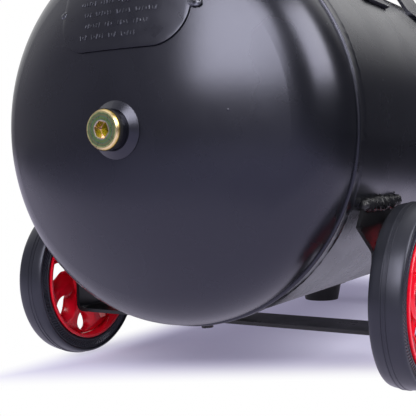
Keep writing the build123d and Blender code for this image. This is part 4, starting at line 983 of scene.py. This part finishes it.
# %% Girth weld beads
bead_steps = 420
ripple_size = 3.5
fine_ripple_size = 1.6
ripple_height = 0.3
wander_size = 9
wander_reach = 0.5
rim_start = 0.5
rim_calm = 0.15
for side, name in ((-1, "rear"), (1, "front")):
    shape = bmesh.new()
    outline = [
        (side * (seam_x - inset * MM), 0, tank_middle.z + shell_radius + rise * MM)
        for inset, rise in bead_section
    ]
    turn_on_lathe(shape, outline, tank_middle, (1, 0, 0), bead_steps)
    for vert in shape.verts:
        out = Vector((0, vert.co.y, vert.co.z - tank_middle.z)).normalized()
        ripple = noise.noise(vert.co / (ripple_size * MM))
        ripple += 0.5 * noise.noise(vert.co / (fine_ripple_size * MM))
        on_rim = abs(vert.co.x) > seam_x + rim_start * MM
        calm = rim_calm if on_rim else 1.0
        vert.co += out * ripple * calm * ripple_height * MM
        vert.co.x += noise.noise(vert.co / (wander_size * MM)) * calm * wander_reach * MM
    bead = new_piece("girth_weld_" + name, shape, powder_coat, "tank", 80)
    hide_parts("weld_beads")

# %% [markdown]
# Where the bracket's lip meets the shell there is a coarser weld, laid by hand in short passes.
# It is a thick rope of overlapping blobs. Real blobs, laid one by one, would cross each other's
# faces. A tube is one clean skin, so a circle is drawn along the lip, one step to a millimetre.

# %% Drawing a rope of weld
lip_drop = 4.5
lip_gap = 1.8
lip_z = Vector(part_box("axle_bracket")[1]).z - lip_drop * MM
lip_y = math.sqrt(shell_radius**2 - (lip_z - tank_middle.z) ** 2) + lip_gap * MM
rope_radius = 5.5
rope_start = -seam_x + 26 * MM
rope_length = 74 * MM
rope_steps = 74


def add_rope(shape, side):
    """Draws a closed tube along the bracket's lip."""
    ring = bmesh.ops.create_circle(shape, segments=18, radius=rope_radius * MM)["verts"]
    upright = Matrix.Rotation(math.radians(90), 4, "Y")
    bmesh.ops.transform(shape, verts=ring, matrix=upright)
    bmesh.ops.translate(shape, verts=ring, vec=(rope_start, side * lip_y, lip_z))
    edges = list(shape.edges)
    for step in range(rope_steps):
        moved = bmesh.ops.extrude_edge_only(shape, edges=edges)["geom"]
        edges = [item for item in moved if isinstance(item, bmesh.types.BMEdge)]
        verts = [item for item in moved if isinstance(item, bmesh.types.BMVert)]
        bmesh.ops.translate(shape, verts=verts, vec=(rope_length / rope_steps, 0, 0))
    bmesh.ops.holes_fill(shape, edges=[edge for edge in shape.edges if edge.is_boundary])


print("rope length:", round(rope_length / MM), "mm")

# %% [markdown]
# The blobs are noise: a coarse one for the passes and a stronger fine one for the torn surface.
# Every vertex moves straight away from the rope's middle line. Over the last three millimetres
# the rope thins, because a welder starts and ends a pass with less metal.

# %% Bracket welds
pass_size = 6
torn_size = 2.4
blob_height = 1.7
end_taper = 1.6
end_length = 3
for side, name in ((1, "left"), (-1, "right")):
    shape = bmesh.new()
    add_rope(shape, side)
    for vert in shape.verts:
        middle = Vector((vert.co.x, side * lip_y, lip_z))
        out = (vert.co - middle).normalized()
        blob = 0.5 * noise.noise(vert.co / (pass_size * MM))
        blob += 0.9 * noise.noise(vert.co / (torn_size * MM))
        end = min(vert.co.x - rope_start, rope_start + rope_length - vert.co.x)
        thinner = end_taper * MM * max(0.0, 1 - end / (end_length * MM))
        vert.co += out * (blob * blob_height * MM - thinner)
    new_piece("bracket_weld_" + name, shape, weld_paint, "tank", 80)

# %% [markdown]
# Drops of metal fly off while a weld is laid, and stick to the shell just above it. A speckled
# bump would not show from the side, so each is a small ball, half sunk in the shell. A noise
# places them, so they lie as irregularly as real ones.

# %% Weld spatter
drop_count = 9
first_drop = 0.05
drop_spacing = 0.105
drop_rise = 5.0
rise_scatter = 4.0
drop_size = 0.6
size_scatter = 0.5
for side, name in ((1, "left"), (-1, "right")):
    shape = bmesh.new()
    for drop in range(drop_count):
        chance_rise = noise.noise(Vector((drop * 3.7, side, 0.4)))
        chance_size = abs(noise.noise(Vector((drop * 1.9, 0.2, side))))
        along = rope_start + rope_length * (first_drop + drop_spacing * drop)
        height = lip_z + (drop_rise + rise_scatter * chance_rise) * MM
        size = (drop_size + size_scatter * chance_size) * MM
        reach = math.sqrt(shell_radius**2 - (height - tank_middle.z) ** 2)
        bmesh.ops.create_icosphere(
            shape,
            subdivisions=2,
            radius=size,
            matrix=Matrix.Translation((along, side * reach, height)),
        )
    new_piece("weld_spatter_" + name, shape, weld_paint, "tank", 80)

# %% [markdown]
# ## Data plate
# A thin steel plate with rounded corners is bent to the dished end, tacked at its sides and
# painted over with the tank. Everything on it has to follow the dish. The dish's formula could
# be worked out again, but asking the solid itself is surer: a ray sent from behind the machine
# finds the point where it meets the dish, and the direction that the surface faces there.

# %% Finding the dish
ray_room = 200
plate_low, plate_high = (Vector(corner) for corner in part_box("data_plate"))


def on_dish(y, z, rise):
    """The point on the dished end behind (y, z), lifted off its surface, and the normal there."""
    start = Vector((plate_low.x - ray_room * MM, y, z))
    _, place, normal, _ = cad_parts["rear_head"].ray_cast(start, Vector((1, 0, 0)))
    return place + normal * rise, normal


print("plate height:", round((plate_high.z - plate_low.z) / MM, 1), "mm")

# %% [markdown]
# The blank is one flat face whose corners are bevelled round. A face with only its outline can't
# bend, so planes cut it into a grid in both directions, and each of the grid's points is then
# laid on the dish. A Shrinkwrap modifier would do this too, but the strokes and the tacks need
# their places on the dish as well, and one function serves all three.

# %% Plate blank
tack_room = 8.5
corner_radius = 26
grid_pitch = 3.7
grid_cuts = 31
left = plate_high.y - tack_room * MM
right = plate_low.y + tack_room * MM
shape = bmesh.new()
corners = [(left, plate_low.z), (right, plate_low.z), (right, plate_high.z), (left, plate_high.z)]
shape.faces.new([shape.verts.new((0, y, z)) for y, z in corners])
bmesh.ops.bevel(
    shape, geom=list(shape.verts), offset=corner_radius * MM, offset_type="OFFSET",
    affect="VERTICES", segments=14, profile=0.5, material=-1,
)
for cut in range(1, grid_cuts + 1):
    for axis, start in (((0, 1, 0), right), ((0, 0, 1), plate_low.z)):
        place = Vector(axis) * (start + cut * grid_pitch * MM)
        bmesh.ops.bisect_plane(
            shape, geom=list(shape.verts) + list(shape.edges) + list(shape.faces),
            plane_co=place, plane_no=axis, dist=0.001 * MM,
        )
print("blank's faces:", len(shape.faces))

# %% [markdown]
# Laid on the dish, the blank gets its thickness from a Solidify modifier, and a Bevel modifier
# rounds the sheared edge, which otherwise would show no highlight at all.

# %% Plate
plate_gap = 0.25
sheet_thickness = 1.2
rim_round = 0.45
for vert in shape.verts:
    vert.co, _ = on_dish(vert.co.y, vert.co.z, plate_gap * MM)
plate = new_piece("tank_plate", shape, plate_paint, "tank")
wall = plate.modifiers.new("sheet", "SOLIDIFY")
wall.thickness = sheet_thickness * MM
wall.offset = 1.0
soft_rim = plate.modifiers.new("rolled_edge", "BEVEL")
soft_rim.width = rim_round * MM
soft_rim.segments = 3
soft_rim.limit_method = "ANGLE"
soft_rim.angle_limit = math.radians(50)
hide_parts("data_plate")

# %% [markdown]
# Rows of raised strokes stand in for the fields that are pressed into such a plate. They're plain
# strokes in groups, and spell nothing. Text would give real letters, and this machine has no
# maker to name. Each stroke is a small cube, squeezed to a bar, leant a little and turned to
# stand on the dish, and its height, lean and width come round in turn.

# %% Pressed strokes
stroke_heights = (3.4, 2.6, 3.4, 1.8)
stroke_leans_deg = (-14, 8, -22, 0, 12)
stroke_widths = (0.85, 0.7, 1.3)
stroke_depth = 0.9
stroke_round = 0.15
stroke_rise = 1.45
stroke_pitch = 2.6
group_gap = 3.2
row_pitch = 8.1
first_row_z = plate_low.z + 10.2 * MM
row_groups = [(3, 5, 3, 5), (6, 3, 4, 5), (3, 6, 5, 7), (6, 5, 4, 8), (4, 6, 5, 6), (5, 4, 7)]
row_starts = [35, 31, 33, 38, 36, 30]
shape = bmesh.new()
for row, (groups, start) in enumerate(zip(row_groups, row_starts)):
    y = start * MM
    z = first_row_z + row * row_pitch * MM
    for group in groups:
        for stroke in range(group):
            tall = stroke_heights[(stroke * 3 + row) % len(stroke_heights)]
            tilt = stroke_leans_deg[(stroke * 2 + row) % len(stroke_leans_deg)]
            thick = stroke_widths[(stroke + row) % len(stroke_widths)]
            place, normal = on_dish(y, z, stroke_rise * MM)
            turn = Vector((-1, 0, 0)).rotation_difference(normal).to_matrix().to_4x4()
            lean = Matrix.Rotation(math.radians(tilt), 4, "X")
            size = Matrix.Diagonal((stroke_depth * MM, thick * MM, tall * MM, 1.0))
            bmesh.ops.create_cube(
                shape, size=1.0, matrix=Matrix.Translation(place) @ turn @ lean @ size
            )
            y -= stroke_pitch * MM
        y -= group_gap * MM
bmesh.ops.bevel(
    shape, geom=list(shape.edges), offset=stroke_round * MM, affect="EDGES", segments=1,
    profile=0.5, material=-1,
)
# The lighter paint on the strokes is partly a painted glint.
new_piece("plate_strokes", shape, rubbed_paint_and_painted_glint, "tank")

# %% [markdown]
# The tacks at the plate's sides are small lumps of weld. Paint is thin on them, so the metal
# shows through in patches. A plain flattened ball would look like a rivet. Two sizes of
# noise, as on the bracket's weld, make it a lump.

# %% Plate tacks
coarse_lump = 4
fine_lump = 1.7
lump_height = 1.1
for name, y, z, size in (
    ("right", plate_low.y + 5.5 * MM, plate_low.z + 28.5 * MM, 4.4 * MM),
    ("left", plate_high.y - 8.5 * MM, plate_low.z + 30.0 * MM, 2.6 * MM),
):
    place, normal = on_dish(y, z, 0.8 * MM)
    turn = Vector((0, 0, 1)).rotation_difference(normal).to_matrix().to_4x4()
    squash = Matrix.Diagonal((1.0, 1.25, 0.55, 1.0))
    shape = bmesh.new()
    lump = bmesh.ops.create_icosphere(
        shape, subdivisions=4, radius=size, matrix=Matrix.Translation(place) @ turn @ squash
    )["verts"]
    for vert in lump:
        out = (vert.co - place).normalized()
        swell = noise.noise(vert.co / (coarse_lump * MM))
        swell += 0.5 * noise.noise(vert.co / (fine_lump * MM))
        vert.co += out * swell * lump_height * MM
    new_piece("plate_tack_" + name, shape, weld_metal, "tank", 80)

# %% [markdown]
# ## Grip on the handle
# The grip is a soft sleeve with rings for the fingers and a collar at each end. Rings could be
# separate toruses, but rubber is moulded in one. Its outline is the length of the sleeve with a
# shallow wave on it, which rises to the collar over the last tenth on either side, and it is
# turned round the handle's bar.

# %% Outline of the grip
grip_low, grip_high = (Vector(corner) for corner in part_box("handle_grip"))
grip_middle = (grip_low + grip_high) / 2
grip_radius = (grip_high.z - grip_low.z) / 2
grip_half = (grip_high.y - grip_low.y) / 2
bar_radius = 11.2 * MM
wave_steps = 96
wave_share = 0.97
collar_start = 0.9
finger_pitch = 7.0
finger_rise = 0.9
collar_rise = 1.6
collar_depth = 1.7
end_depth = 1.0
outline = [(-grip_half, bar_radius), (-grip_half, grip_radius - end_depth * MM)]
for step in range(wave_steps + 1):
    y = (-wave_share + 2 * wave_share * step / wave_steps) * grip_half
    wave = 0.5 - 0.5 * math.cos(y / (finger_pitch * MM) * 2 * math.pi)
    collar = max(0.0, abs(y) / grip_half - collar_start) / (1 - collar_start)
    rise = max(wave * finger_rise, collar_rise * min(collar, 1.0)) * MM
    outline.append((y, grip_radius - collar_depth * MM + rise))
outline += [(grip_half, grip_radius - end_depth * MM), (grip_half, bar_radius)]
print("points in the outline:", len(outline))

# %% [markdown]
# The outline lies along the bar, so it is spun round an axis that points from side to side. The
# sleeve takes the place of the plain one.

# %% Handle grip
grip_steps = 64
shape = bmesh.new()
profile = [(grip_middle.x, y, grip_middle.z + r) for y, r in outline]
turn_on_lathe(shape, profile, grip_middle, (0, 1, 0), grip_steps)
grip = new_piece("grip_sleeve", shape, plain_rubber, "tank")
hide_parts("handle_grip")

# %% [markdown]
# ## Gauge dials
# Printed marks go on the enamel: short ticks round three quarters of a turn, and a longer one at
# each number. An image texture would turn soft close up. Thin bars of ink stay sharp, and one
# loop sets them round the centre, clockwise from the lower left.

# %% Dial ticks
dial_low, dial_high = (Vector(corner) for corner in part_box("gauge_dials"))
dial_radius = (dial_high.z - dial_low.z) / 2
first_mark_deg = 225
dial_sweep_deg = 270
tick_count = 33
ticks_to_number = 4
long_tick = (3.0, 0.6)
short_tick = (1.8, 0.3)
tick_depth = 0.1
rim_margin = 1.2


def dial_angle(share):
    """Angle of a mark, from a share of the dial's sweep."""
    return math.radians(first_mark_deg - dial_sweep_deg * share)


def add_ticks(name, centre):
    """The ring of ticks on one dial."""
    shape = bmesh.new()
    for tick in range(tick_count):
        reach, thick = short_tick if tick % ticks_to_number else long_tick
        angle = dial_angle(tick / (tick_count - 1))
        out = Vector((math.cos(angle), 0, math.sin(angle)))
        place = centre + out * (dial_radius - (rim_margin + reach / 2) * MM)
        turn = Matrix.Rotation(-angle, 4, "Y")
        size = Matrix.Diagonal((reach * MM, tick_depth * MM, thick * MM, 1.0))
        bmesh.ops.create_cube(shape, size=1.0, matrix=Matrix.Translation(place) @ turn @ size)
    new_piece("dial_ticks_" + name, shape, dial_ink, "tank")


print("ticks on a dial:", tick_count)

# %% [markdown]
# The numbers give the pressure in bar. Figures drawn from bars would look like those of a
# pocket calculator, so they are text. A text object can't be moved by its mesh, as every piece
# here is, so it is made a mesh first, stood upright and then put in its place.

# %% Dial numbers
number_count = 9
number_step = 2
number_size = 3.6
number_depth = 0.05
number_inset = 6.8


def add_numbers(name, centre):
    """The numbers on one dial, each a piece of its own."""
    for number in range(number_count):
        angle = dial_angle(number / (number_count - 1))
        out = Vector((math.cos(angle), 0, math.sin(angle)))
        letters = bpy.data.curves.new("number", "FONT")
        letters.body = str(number * number_step)
        letters.size = number_size * MM
        letters.align_x = "CENTER"
        letters.align_y = "CENTER"
        letters.extrude = number_depth * MM
        text = bpy.data.objects.new("number", letters)
        mesh = bpy.data.meshes.new_from_object(text)
        bpy.data.objects.remove(text)
        upright = Matrix.Rotation(math.radians(90), 4, "X")
        place = centre + out * (dial_radius - number_inset * MM)
        mesh.transform(Matrix.Translation(place) @ upright)
        mesh.materials.append(dial_ink)
        figure = bpy.data.objects.new("dial_%s_%02d" % (name, number * number_step), mesh)
        bpy.context.collection.objects.link(figure)
        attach(figure, "tank")


print("highest number:", (number_count - 1) * number_step, "bar")

# %% [markdown]
# The two dials are one node with a disc at either end, so their centres lie one radius in from
# the ends of its box. The ink stands a few hundredths of a millimetre in front of the enamel,
# because two faces in one plane flicker.

# %% Both dials
ink_gap = 0.06
ink_y = dial_low.y - ink_gap * MM
dial_z = (dial_low.z + dial_high.z) / 2
dial_places = (
    ("tank", dial_low.x + dial_radius),
    ("line", dial_high.x - dial_radius),
)
for name, x in dial_places:
    centre = Vector((x, ink_y, dial_z))
    add_ticks(name, centre)
    add_numbers(name, centre)
print("dials marked:", len(dial_places))

# %% [markdown]
# ## Floor
# The machine stands on white paper. Close to it the paper takes a soft lilac shadow, and further
# out it is so strongly lit that the camera sees pure white. The shadow is partly painted: its soft
# edges, its lilac and some light that lifts it are painted on the sheet. Reflections see less of
# the white: beyond the paper's edges the sheet is a darker lilac grey, and painted shade makes it
# darkest on the right. A black tank gets nearly all its shape from this, so the edges' places
# matter more than the lamps'.
# Real strips of paper and lamps over them could do it too. Measuring how far a point of the
# floor lies in a few directions is simpler, and keeps the floor one plain sheet.

# %% Distances on the floor
view_direction = (0.870, 0.492, 0)
right_direction = (0.492, -0.870, 0)
left_direction = (-0.974, 0.225, 0)
paper, shader = new_material("white_studio_paper", {"Roughness": 0.9, "Specular IOR Level": 0.1})
place = add_node(paper, "ShaderNodeTexCoord").outputs["Object"]
parts = add_node(paper, "ShaderNodeSeparateXYZ", None, {"Vector": place})
sideways = add_node(paper, "ShaderNodeMath", {"operation": "ABSOLUTE"}, {0: parts.outputs["Y"]})
along_view, rightward, leftward = (
    add_node(
        paper, "ShaderNodeVectorMath", {"operation": "DOT_PRODUCT", 1: direction}, {0: place}
    )
    for direction in (view_direction, right_direction, left_direction)
)
print("material:", paper.name)

# %% [markdown]
# Each limit of the shadow or the paper is a soft step: it lies between two distances in metres,
# and goes from its least value to one, so the shadow's soft edges are painted. In the shadow the
# least is about a quarter and not nought: that quarter of white is painted light, which lifts the
# rendered shadow as white paper round it would throw light back.

# %% Soft limits
# Painted light: the least share of white glow inside the shadow.
painted_shadow_fill = 0.24
paper_limits = {
    "front": (along_view.outputs["Value"], -0.12, -0.22, painted_shadow_fill),
    "side": (sideways.outputs["Value"], 0.12, 0.19, painted_shadow_fill),
    "end": (parts.outputs["X"], 0.34, 0.5, painted_shadow_fill),
    "near_edge": (along_view.outputs["Value"], -0.68, -0.56, 0.0),
    "left_edge": (leftward.outputs["Value"], 0.85, 0.62, 0.0),
    "right_edge": (rightward.outputs["Value"], 0.6, 0.45, 0.0),
    # Painted shade: this limit darkens the sheet towards the right.
    "dark_side": (rightward.outputs["Value"], 0.9, 0.35, 0.0),
}
masks = {
    name: add_node(
        paper,
        "ShaderNodeMapRange",
        {
            "interpolation_type": "SMOOTHSTEP",
            "From Min": low,
            "From Max": high,
            "To Min": least,
        },
        {"Value": source},
    ).outputs["Result"]
    for name, (source, low, high, least) in paper_limits.items()
}
print("limits:", *masks)

# %% [markdown]
# A point is outside the shadow when it is beyond any one of the shadow's limits, so the largest
# counts. It is on the paper only when it is inside every edge, so those are multiplied.

# %% Outside the shadow, and on the paper
front_or_side = add_node(
    paper, "ShaderNodeMath", {"operation": "MAXIMUM"}, {0: masks["front"], 1: masks["side"]}
)
outside = add_node(
    paper,
    "ShaderNodeMath",
    {"operation": "MAXIMUM"},
    {0: front_or_side.outputs["Value"], 1: masks["end"]},
)
between_sides = add_node(
    paper,
    "ShaderNodeMath",
    {"operation": "MULTIPLY"},
    {0: masks["left_edge"], 1: masks["right_edge"]},
)
on_paper = add_node(
    paper,
    "ShaderNodeMath",
    {"operation": "MULTIPLY"},
    {0: between_sides.outputs["Value"], 1: masks["near_edge"]},
)
print("paper nodes so far:", len(paper.node_tree.nodes))

# %% [markdown]
# The camera sees white wherever it looks past the shadow. Mirrored rays, from paint and metal,
# and rays through glass see that white only on the paper. All other rays, which light the
# machine from below, see the plain sheet. The Light Path node tells which ray is asking.

# %% Which rays see the white
rays = add_node(paper, "ShaderNodeLightPath")
mirrored = add_node(
    paper,
    "ShaderNodeMath",
    {"operation": "MAXIMUM"},
    {0: rays.outputs["Is Glossy Ray"], 1: rays.outputs["Is Transmission Ray"]},
)
mirrored_paper = add_node(
    paper,
    "ShaderNodeMath",
    {"operation": "MULTIPLY"},
    {0: mirrored.outputs["Value"], 1: on_paper.outputs["Value"]},
)
seen = add_node(
    paper,
    "ShaderNodeMath",
    {"operation": "MAXIMUM"},
    {0: rays.outputs["Is Camera Ray"], 1: mirrored_paper.outputs["Value"]},
)
white_share = add_node(
    paper,
    "ShaderNodeMath",
    {"operation": "MULTIPLY"},
    {0: outside.outputs["Value"], 1: seen.outputs["Value"]},
)
print("rays that see white: camera, and mirrored ones on the paper")

# %% [markdown]
# The sheet itself has three tones: near black on the dark side, which is painted shade, a middle
# lilac grey beyond the paper's edges, and lilac white on the paper, whose lilac is painted shade
# colour for its shadow. Half of a share comes from the dark side's limit and half from being on
# the paper, so one ramp holds all three.

# %% Tone of the sheet
half_lit = add_node(
    paper, "ShaderNodeMath", {"operation": "MULTIPLY", 1: 0.5}, {0: masks["dark_side"]}
)
tone_share = add_node(
    paper,
    "ShaderNodeMath",
    {"operation": "MULTIPLY_ADD", 1: 0.5},
    {0: on_paper.outputs["Value"], 2: half_lit.outputs["Value"]},
)
# The near-black stop is painted shade, and the lilac in the paper's white is painted shade colour.
tone = add_node(
    paper,
    "ShaderNodeValToRGB",
    {"stops": [(0.0, "2c2b33"), (0.5, "a8a6bd"), (1.0, "eeecff")]},
    {"Fac": tone_share.outputs["Value"]},
)
wire(paper, tone.outputs["Color"], shader, "Base Color")
print("tones:", len(tone.color_ramp.elements))

# %% [markdown]
# White light of strength 1 is the brightest that doesn't clip. Mirrored rays see it slightly
# lilac, a painted shade colour, as paper in the shade of a machine is. For the camera it is a
# painted lilac shade next to the shadow and turns pure white away from it. The glow is mixed over
# the sheet by the white's share.

# %% Glow of the paper
seen_lit = add_node(
    paper,
    "ShaderNodeMath",
    {"operation": "MULTIPLY"},
    {0: rays.outputs["Is Camera Ray"], 1: outside.outputs["Value"]},
)
# The lilac stops are painted shade colour; only the last is plain white.
paper_glow_and_painted_shade = add_node(
    paper,
    "ShaderNodeValToRGB",
    {"stops": [(0.0, "eee8ff"), (0.2, "dcd5ff"), (1.0, "ffffff")]},
    {"Fac": seen_lit.outputs["Value"]},
)
white = add_node(
    paper, "ShaderNodeEmission", {"Strength": 1.0}, {"Color": paper_glow_and_painted_shade.outputs["Color"]}
)
blend = add_node(
    paper,
    "ShaderNodeMixShader",
    None,
    {"Fac": white_share.outputs["Value"], 1: shader.outputs["BSDF"], 2: white.outputs["Emission"]},
)
wire(paper, blend.outputs["Shader"], paper.node_tree.nodes["Material Output"], "Surface")
print("paper nodes:", len(paper.node_tree.nodes))

# %% [markdown]
# The sheet is a plain disc, wide enough to meet the backdrop. It belongs to the stage and not to
# the machine.

# %% Floor sheet
floor_radius = 9.0
shape = bmesh.new()
bmesh.ops.create_circle(shape, cap_ends=True, segments=96, radius=floor_radius)
floor_mesh = bpy.data.meshes.new("floor")
shape.to_mesh(floor_mesh)
shape.free()
floor = bpy.data.objects.new("floor", floor_mesh)
bpy.context.collection.objects.link(floor)
floor.data.materials.append(paper)
print("floor:", floor.name, "radius:", floor_radius, "m")

# %% [markdown]
# ## Room
# The room is dim and faintly lilac, as a studio is behind the lamps, and darker still on the
# right, where nothing throws light back. Walls could be modelled, but a world gives the same
# light and never stands in a lamp's way. How much a direction points to the dark side gives its
# tone.

# %% Tone of the room
room = bpy.data.worlds.new("studio_room")
bpy.context.scene.world = room
room.use_nodes = True
background = room.node_tree.nodes["Background"]
background.inputs["Strength"].default_value = 1.0
dark_side = (0.342, -0.940, 0)
direction = add_node(room, "ShaderNodeTexCoord").outputs["Generated"]
towards_dark = add_node(
    room, "ShaderNodeVectorMath", {"operation": "DOT_PRODUCT", 1: dark_side}, {0: direction}
)
room_tone = add_node(
    room,
    "ShaderNodeValToRGB",
    {"stops": [(0.08, "8b8992"), (0.45, "45454c")]},
    {"Fac": towards_dark.outputs["Value"]},
)
wire(room, room_tone.outputs["Color"], background, "Color")
print("room tones:", len(room_tone.color_ramp.elements))

# %% [markdown]
# The white backdrop hangs high on the far side. The camera sees it all round, so that the
# machine stands out clean from every side, and mirrored rays see it only where it hangs, with a
# soft border.

# %% Where the backdrop hangs
backdrop_middle = (0.50, 0.42, 0.757)
border_outside = 0.53
border_inside = 0.80
backdrop = add_node(room, "ShaderNodeBackground", {"Color": (1, 1, 1, 1), "Strength": 1.0})
facing = add_node(
    room, "ShaderNodeVectorMath", {"operation": "DOT_PRODUCT", 1: backdrop_middle}, {0: direction}
)
far_side = add_node(
    room,
    "ShaderNodeMapRange",
    {
        "interpolation_type": "SMOOTHSTEP",
        "From Min": border_outside,
        "From Max": border_inside,
    },
    {"Value": facing.outputs["Value"]},
)
print("backdrop's height:", round(math.degrees(math.asin(backdrop_middle[2]))), "degrees")

# %% [markdown]
# The rays are told apart as on the floor, and the backdrop is mixed over the room for those that
# see it.

# %% Which rays see the backdrop
rays = add_node(room, "ShaderNodeLightPath")
mirrored = add_node(
    room,
    "ShaderNodeMath",
    {"operation": "MAXIMUM"},
    {0: rays.outputs["Is Glossy Ray"], 1: rays.outputs["Is Transmission Ray"]},
)
far_mirrored = add_node(
    room,
    "ShaderNodeMath",
    {"operation": "MULTIPLY"},
    {0: mirrored.outputs["Value"], 1: far_side.outputs["Result"]},
)
seen_white = add_node(
    room,
    "ShaderNodeMath",
    {"operation": "MAXIMUM"},
    {0: rays.outputs["Is Camera Ray"], 1: far_mirrored.outputs["Value"]},
)
mix = add_node(
    room,
    "ShaderNodeMixShader",
    None,
    {
        "Fac": seen_white.outputs["Value"],
        1: background.outputs["Background"],
        2: backdrop.outputs["Background"],
    },
)
wire(room, mix.outputs["Shader"], room.node_tree.nodes["World Output"], "Surface")
print("world nodes:", len(room.node_tree.nodes))

# %% [markdown]
# ## Lamps
# Two soft boxes of nearly the same size light the machine. One stands to its right and gives the
# narrow band of light on the dished end's shoulder. The other stands behind the tank's rear end
# and gives the broad glow on its upper half. Small lamps would leave hard dots on gloss, and a
# black coat shows little else than the lamps themselves. A lamp's power follows from its area
# and from how bright its face should look, which is 1 for a white that just doesn't clip.

# %% Soft boxes
lamp_aim = Vector((-0.27, 0.0, tank_middle.z))


def soft_box(name, turn_deg, height_deg, distance, width, height, radiance):
    """An area lamp aimed at the tank's rear end from a bearing and a height."""
    turn = math.radians(turn_deg)
    tilt = math.radians(height_deg)
    level = Vector((math.cos(turn), math.sin(turn), 0)) * math.cos(tilt)
    out = level + Vector((0, 0, math.sin(tilt)))
    lamp = bpy.data.lights.new(name, "AREA")
    lamp.shape = "RECTANGLE"
    lamp.size = width
    lamp.size_y = height
    lamp.energy = radiance * math.pi * width * height
    holder = bpy.data.objects.new(name, lamp)
    holder.location = lamp_aim + out * distance
    holder.rotation_euler = (-out).to_track_quat("-Z", "Y").to_euler()
    holder.visible_camera = False
    bpy.context.collection.objects.link(holder)
    print("lamp:", name, "energy", round(lamp.energy, 1))


soft_box(
    "soft_box_right", turn_deg=-88, height_deg=39, distance=2.6,
    width=1.7, height=1.6, radiance=6.9,
)
soft_box(
    "soft_box_rear", turn_deg=-169, height_deg=35, distance=2.6,
    width=1.6, height=1.65, radiance=7.9,
)

# %% [markdown]
# ## Camera
# The camera is low and close, beside the rear end, and turned a little to its left and down. A
# Track To constraint would aim it at a point, but it couldn't give the slight roll. So its three
# axes are worked out from the turn, the fall and the roll, in radians.

# %% Where the camera looks
camera_place = Vector((-830.1, -375.2, 177.9)) * MM
look_turn = 0.515
look_down = 0.105
look_roll = -0.021
forward = Vector((
    math.cos(look_turn) * math.cos(look_down),
    math.sin(look_turn) * math.cos(look_down),
    -math.sin(look_down),
))
level_right = forward.cross(Vector((0, 0, 1))).normalized()
level_up = level_right.cross(forward)
right = level_right * math.cos(look_roll) + level_up * math.sin(look_roll)
up = right.cross(forward)
print("camera height:", round(camera_place.z / MM), "mm")

# %% [markdown]
# The lens is given in pixels of a square view, as a camera's calibration gives it, and turned
# into millimetres on the sensor. The optical axis misses the middle of the view, as it does when
# a lens is shifted on a view camera, and the camera's shift sets it back.

# %% Camera
view_width = 416
focal_pixels = 862
middle_x = 243.5
middle_y = 253.95
camera_data = bpy.data.cameras.new("camera")
camera_data.sensor_width = 36
camera_data.lens = focal_pixels / view_width * camera_data.sensor_width
camera_data.shift_x = (view_width / 2 - middle_x) / view_width
camera_data.shift_y = (middle_y - view_width / 2) / view_width
camera_data.clip_start = 0.05
camera = bpy.data.objects.new("camera", camera_data)
bpy.context.collection.objects.link(camera)
turn = Matrix((right, up, -forward)).transposed().to_4x4()
camera.matrix_world = Matrix.Translation(camera_place) @ turn
bpy.context.scene.camera = camera
bpy.context.scene.view_settings.view_transform = "Standard"
print("lens:", round(camera_data.lens, 1), "mm")

# %% [markdown]
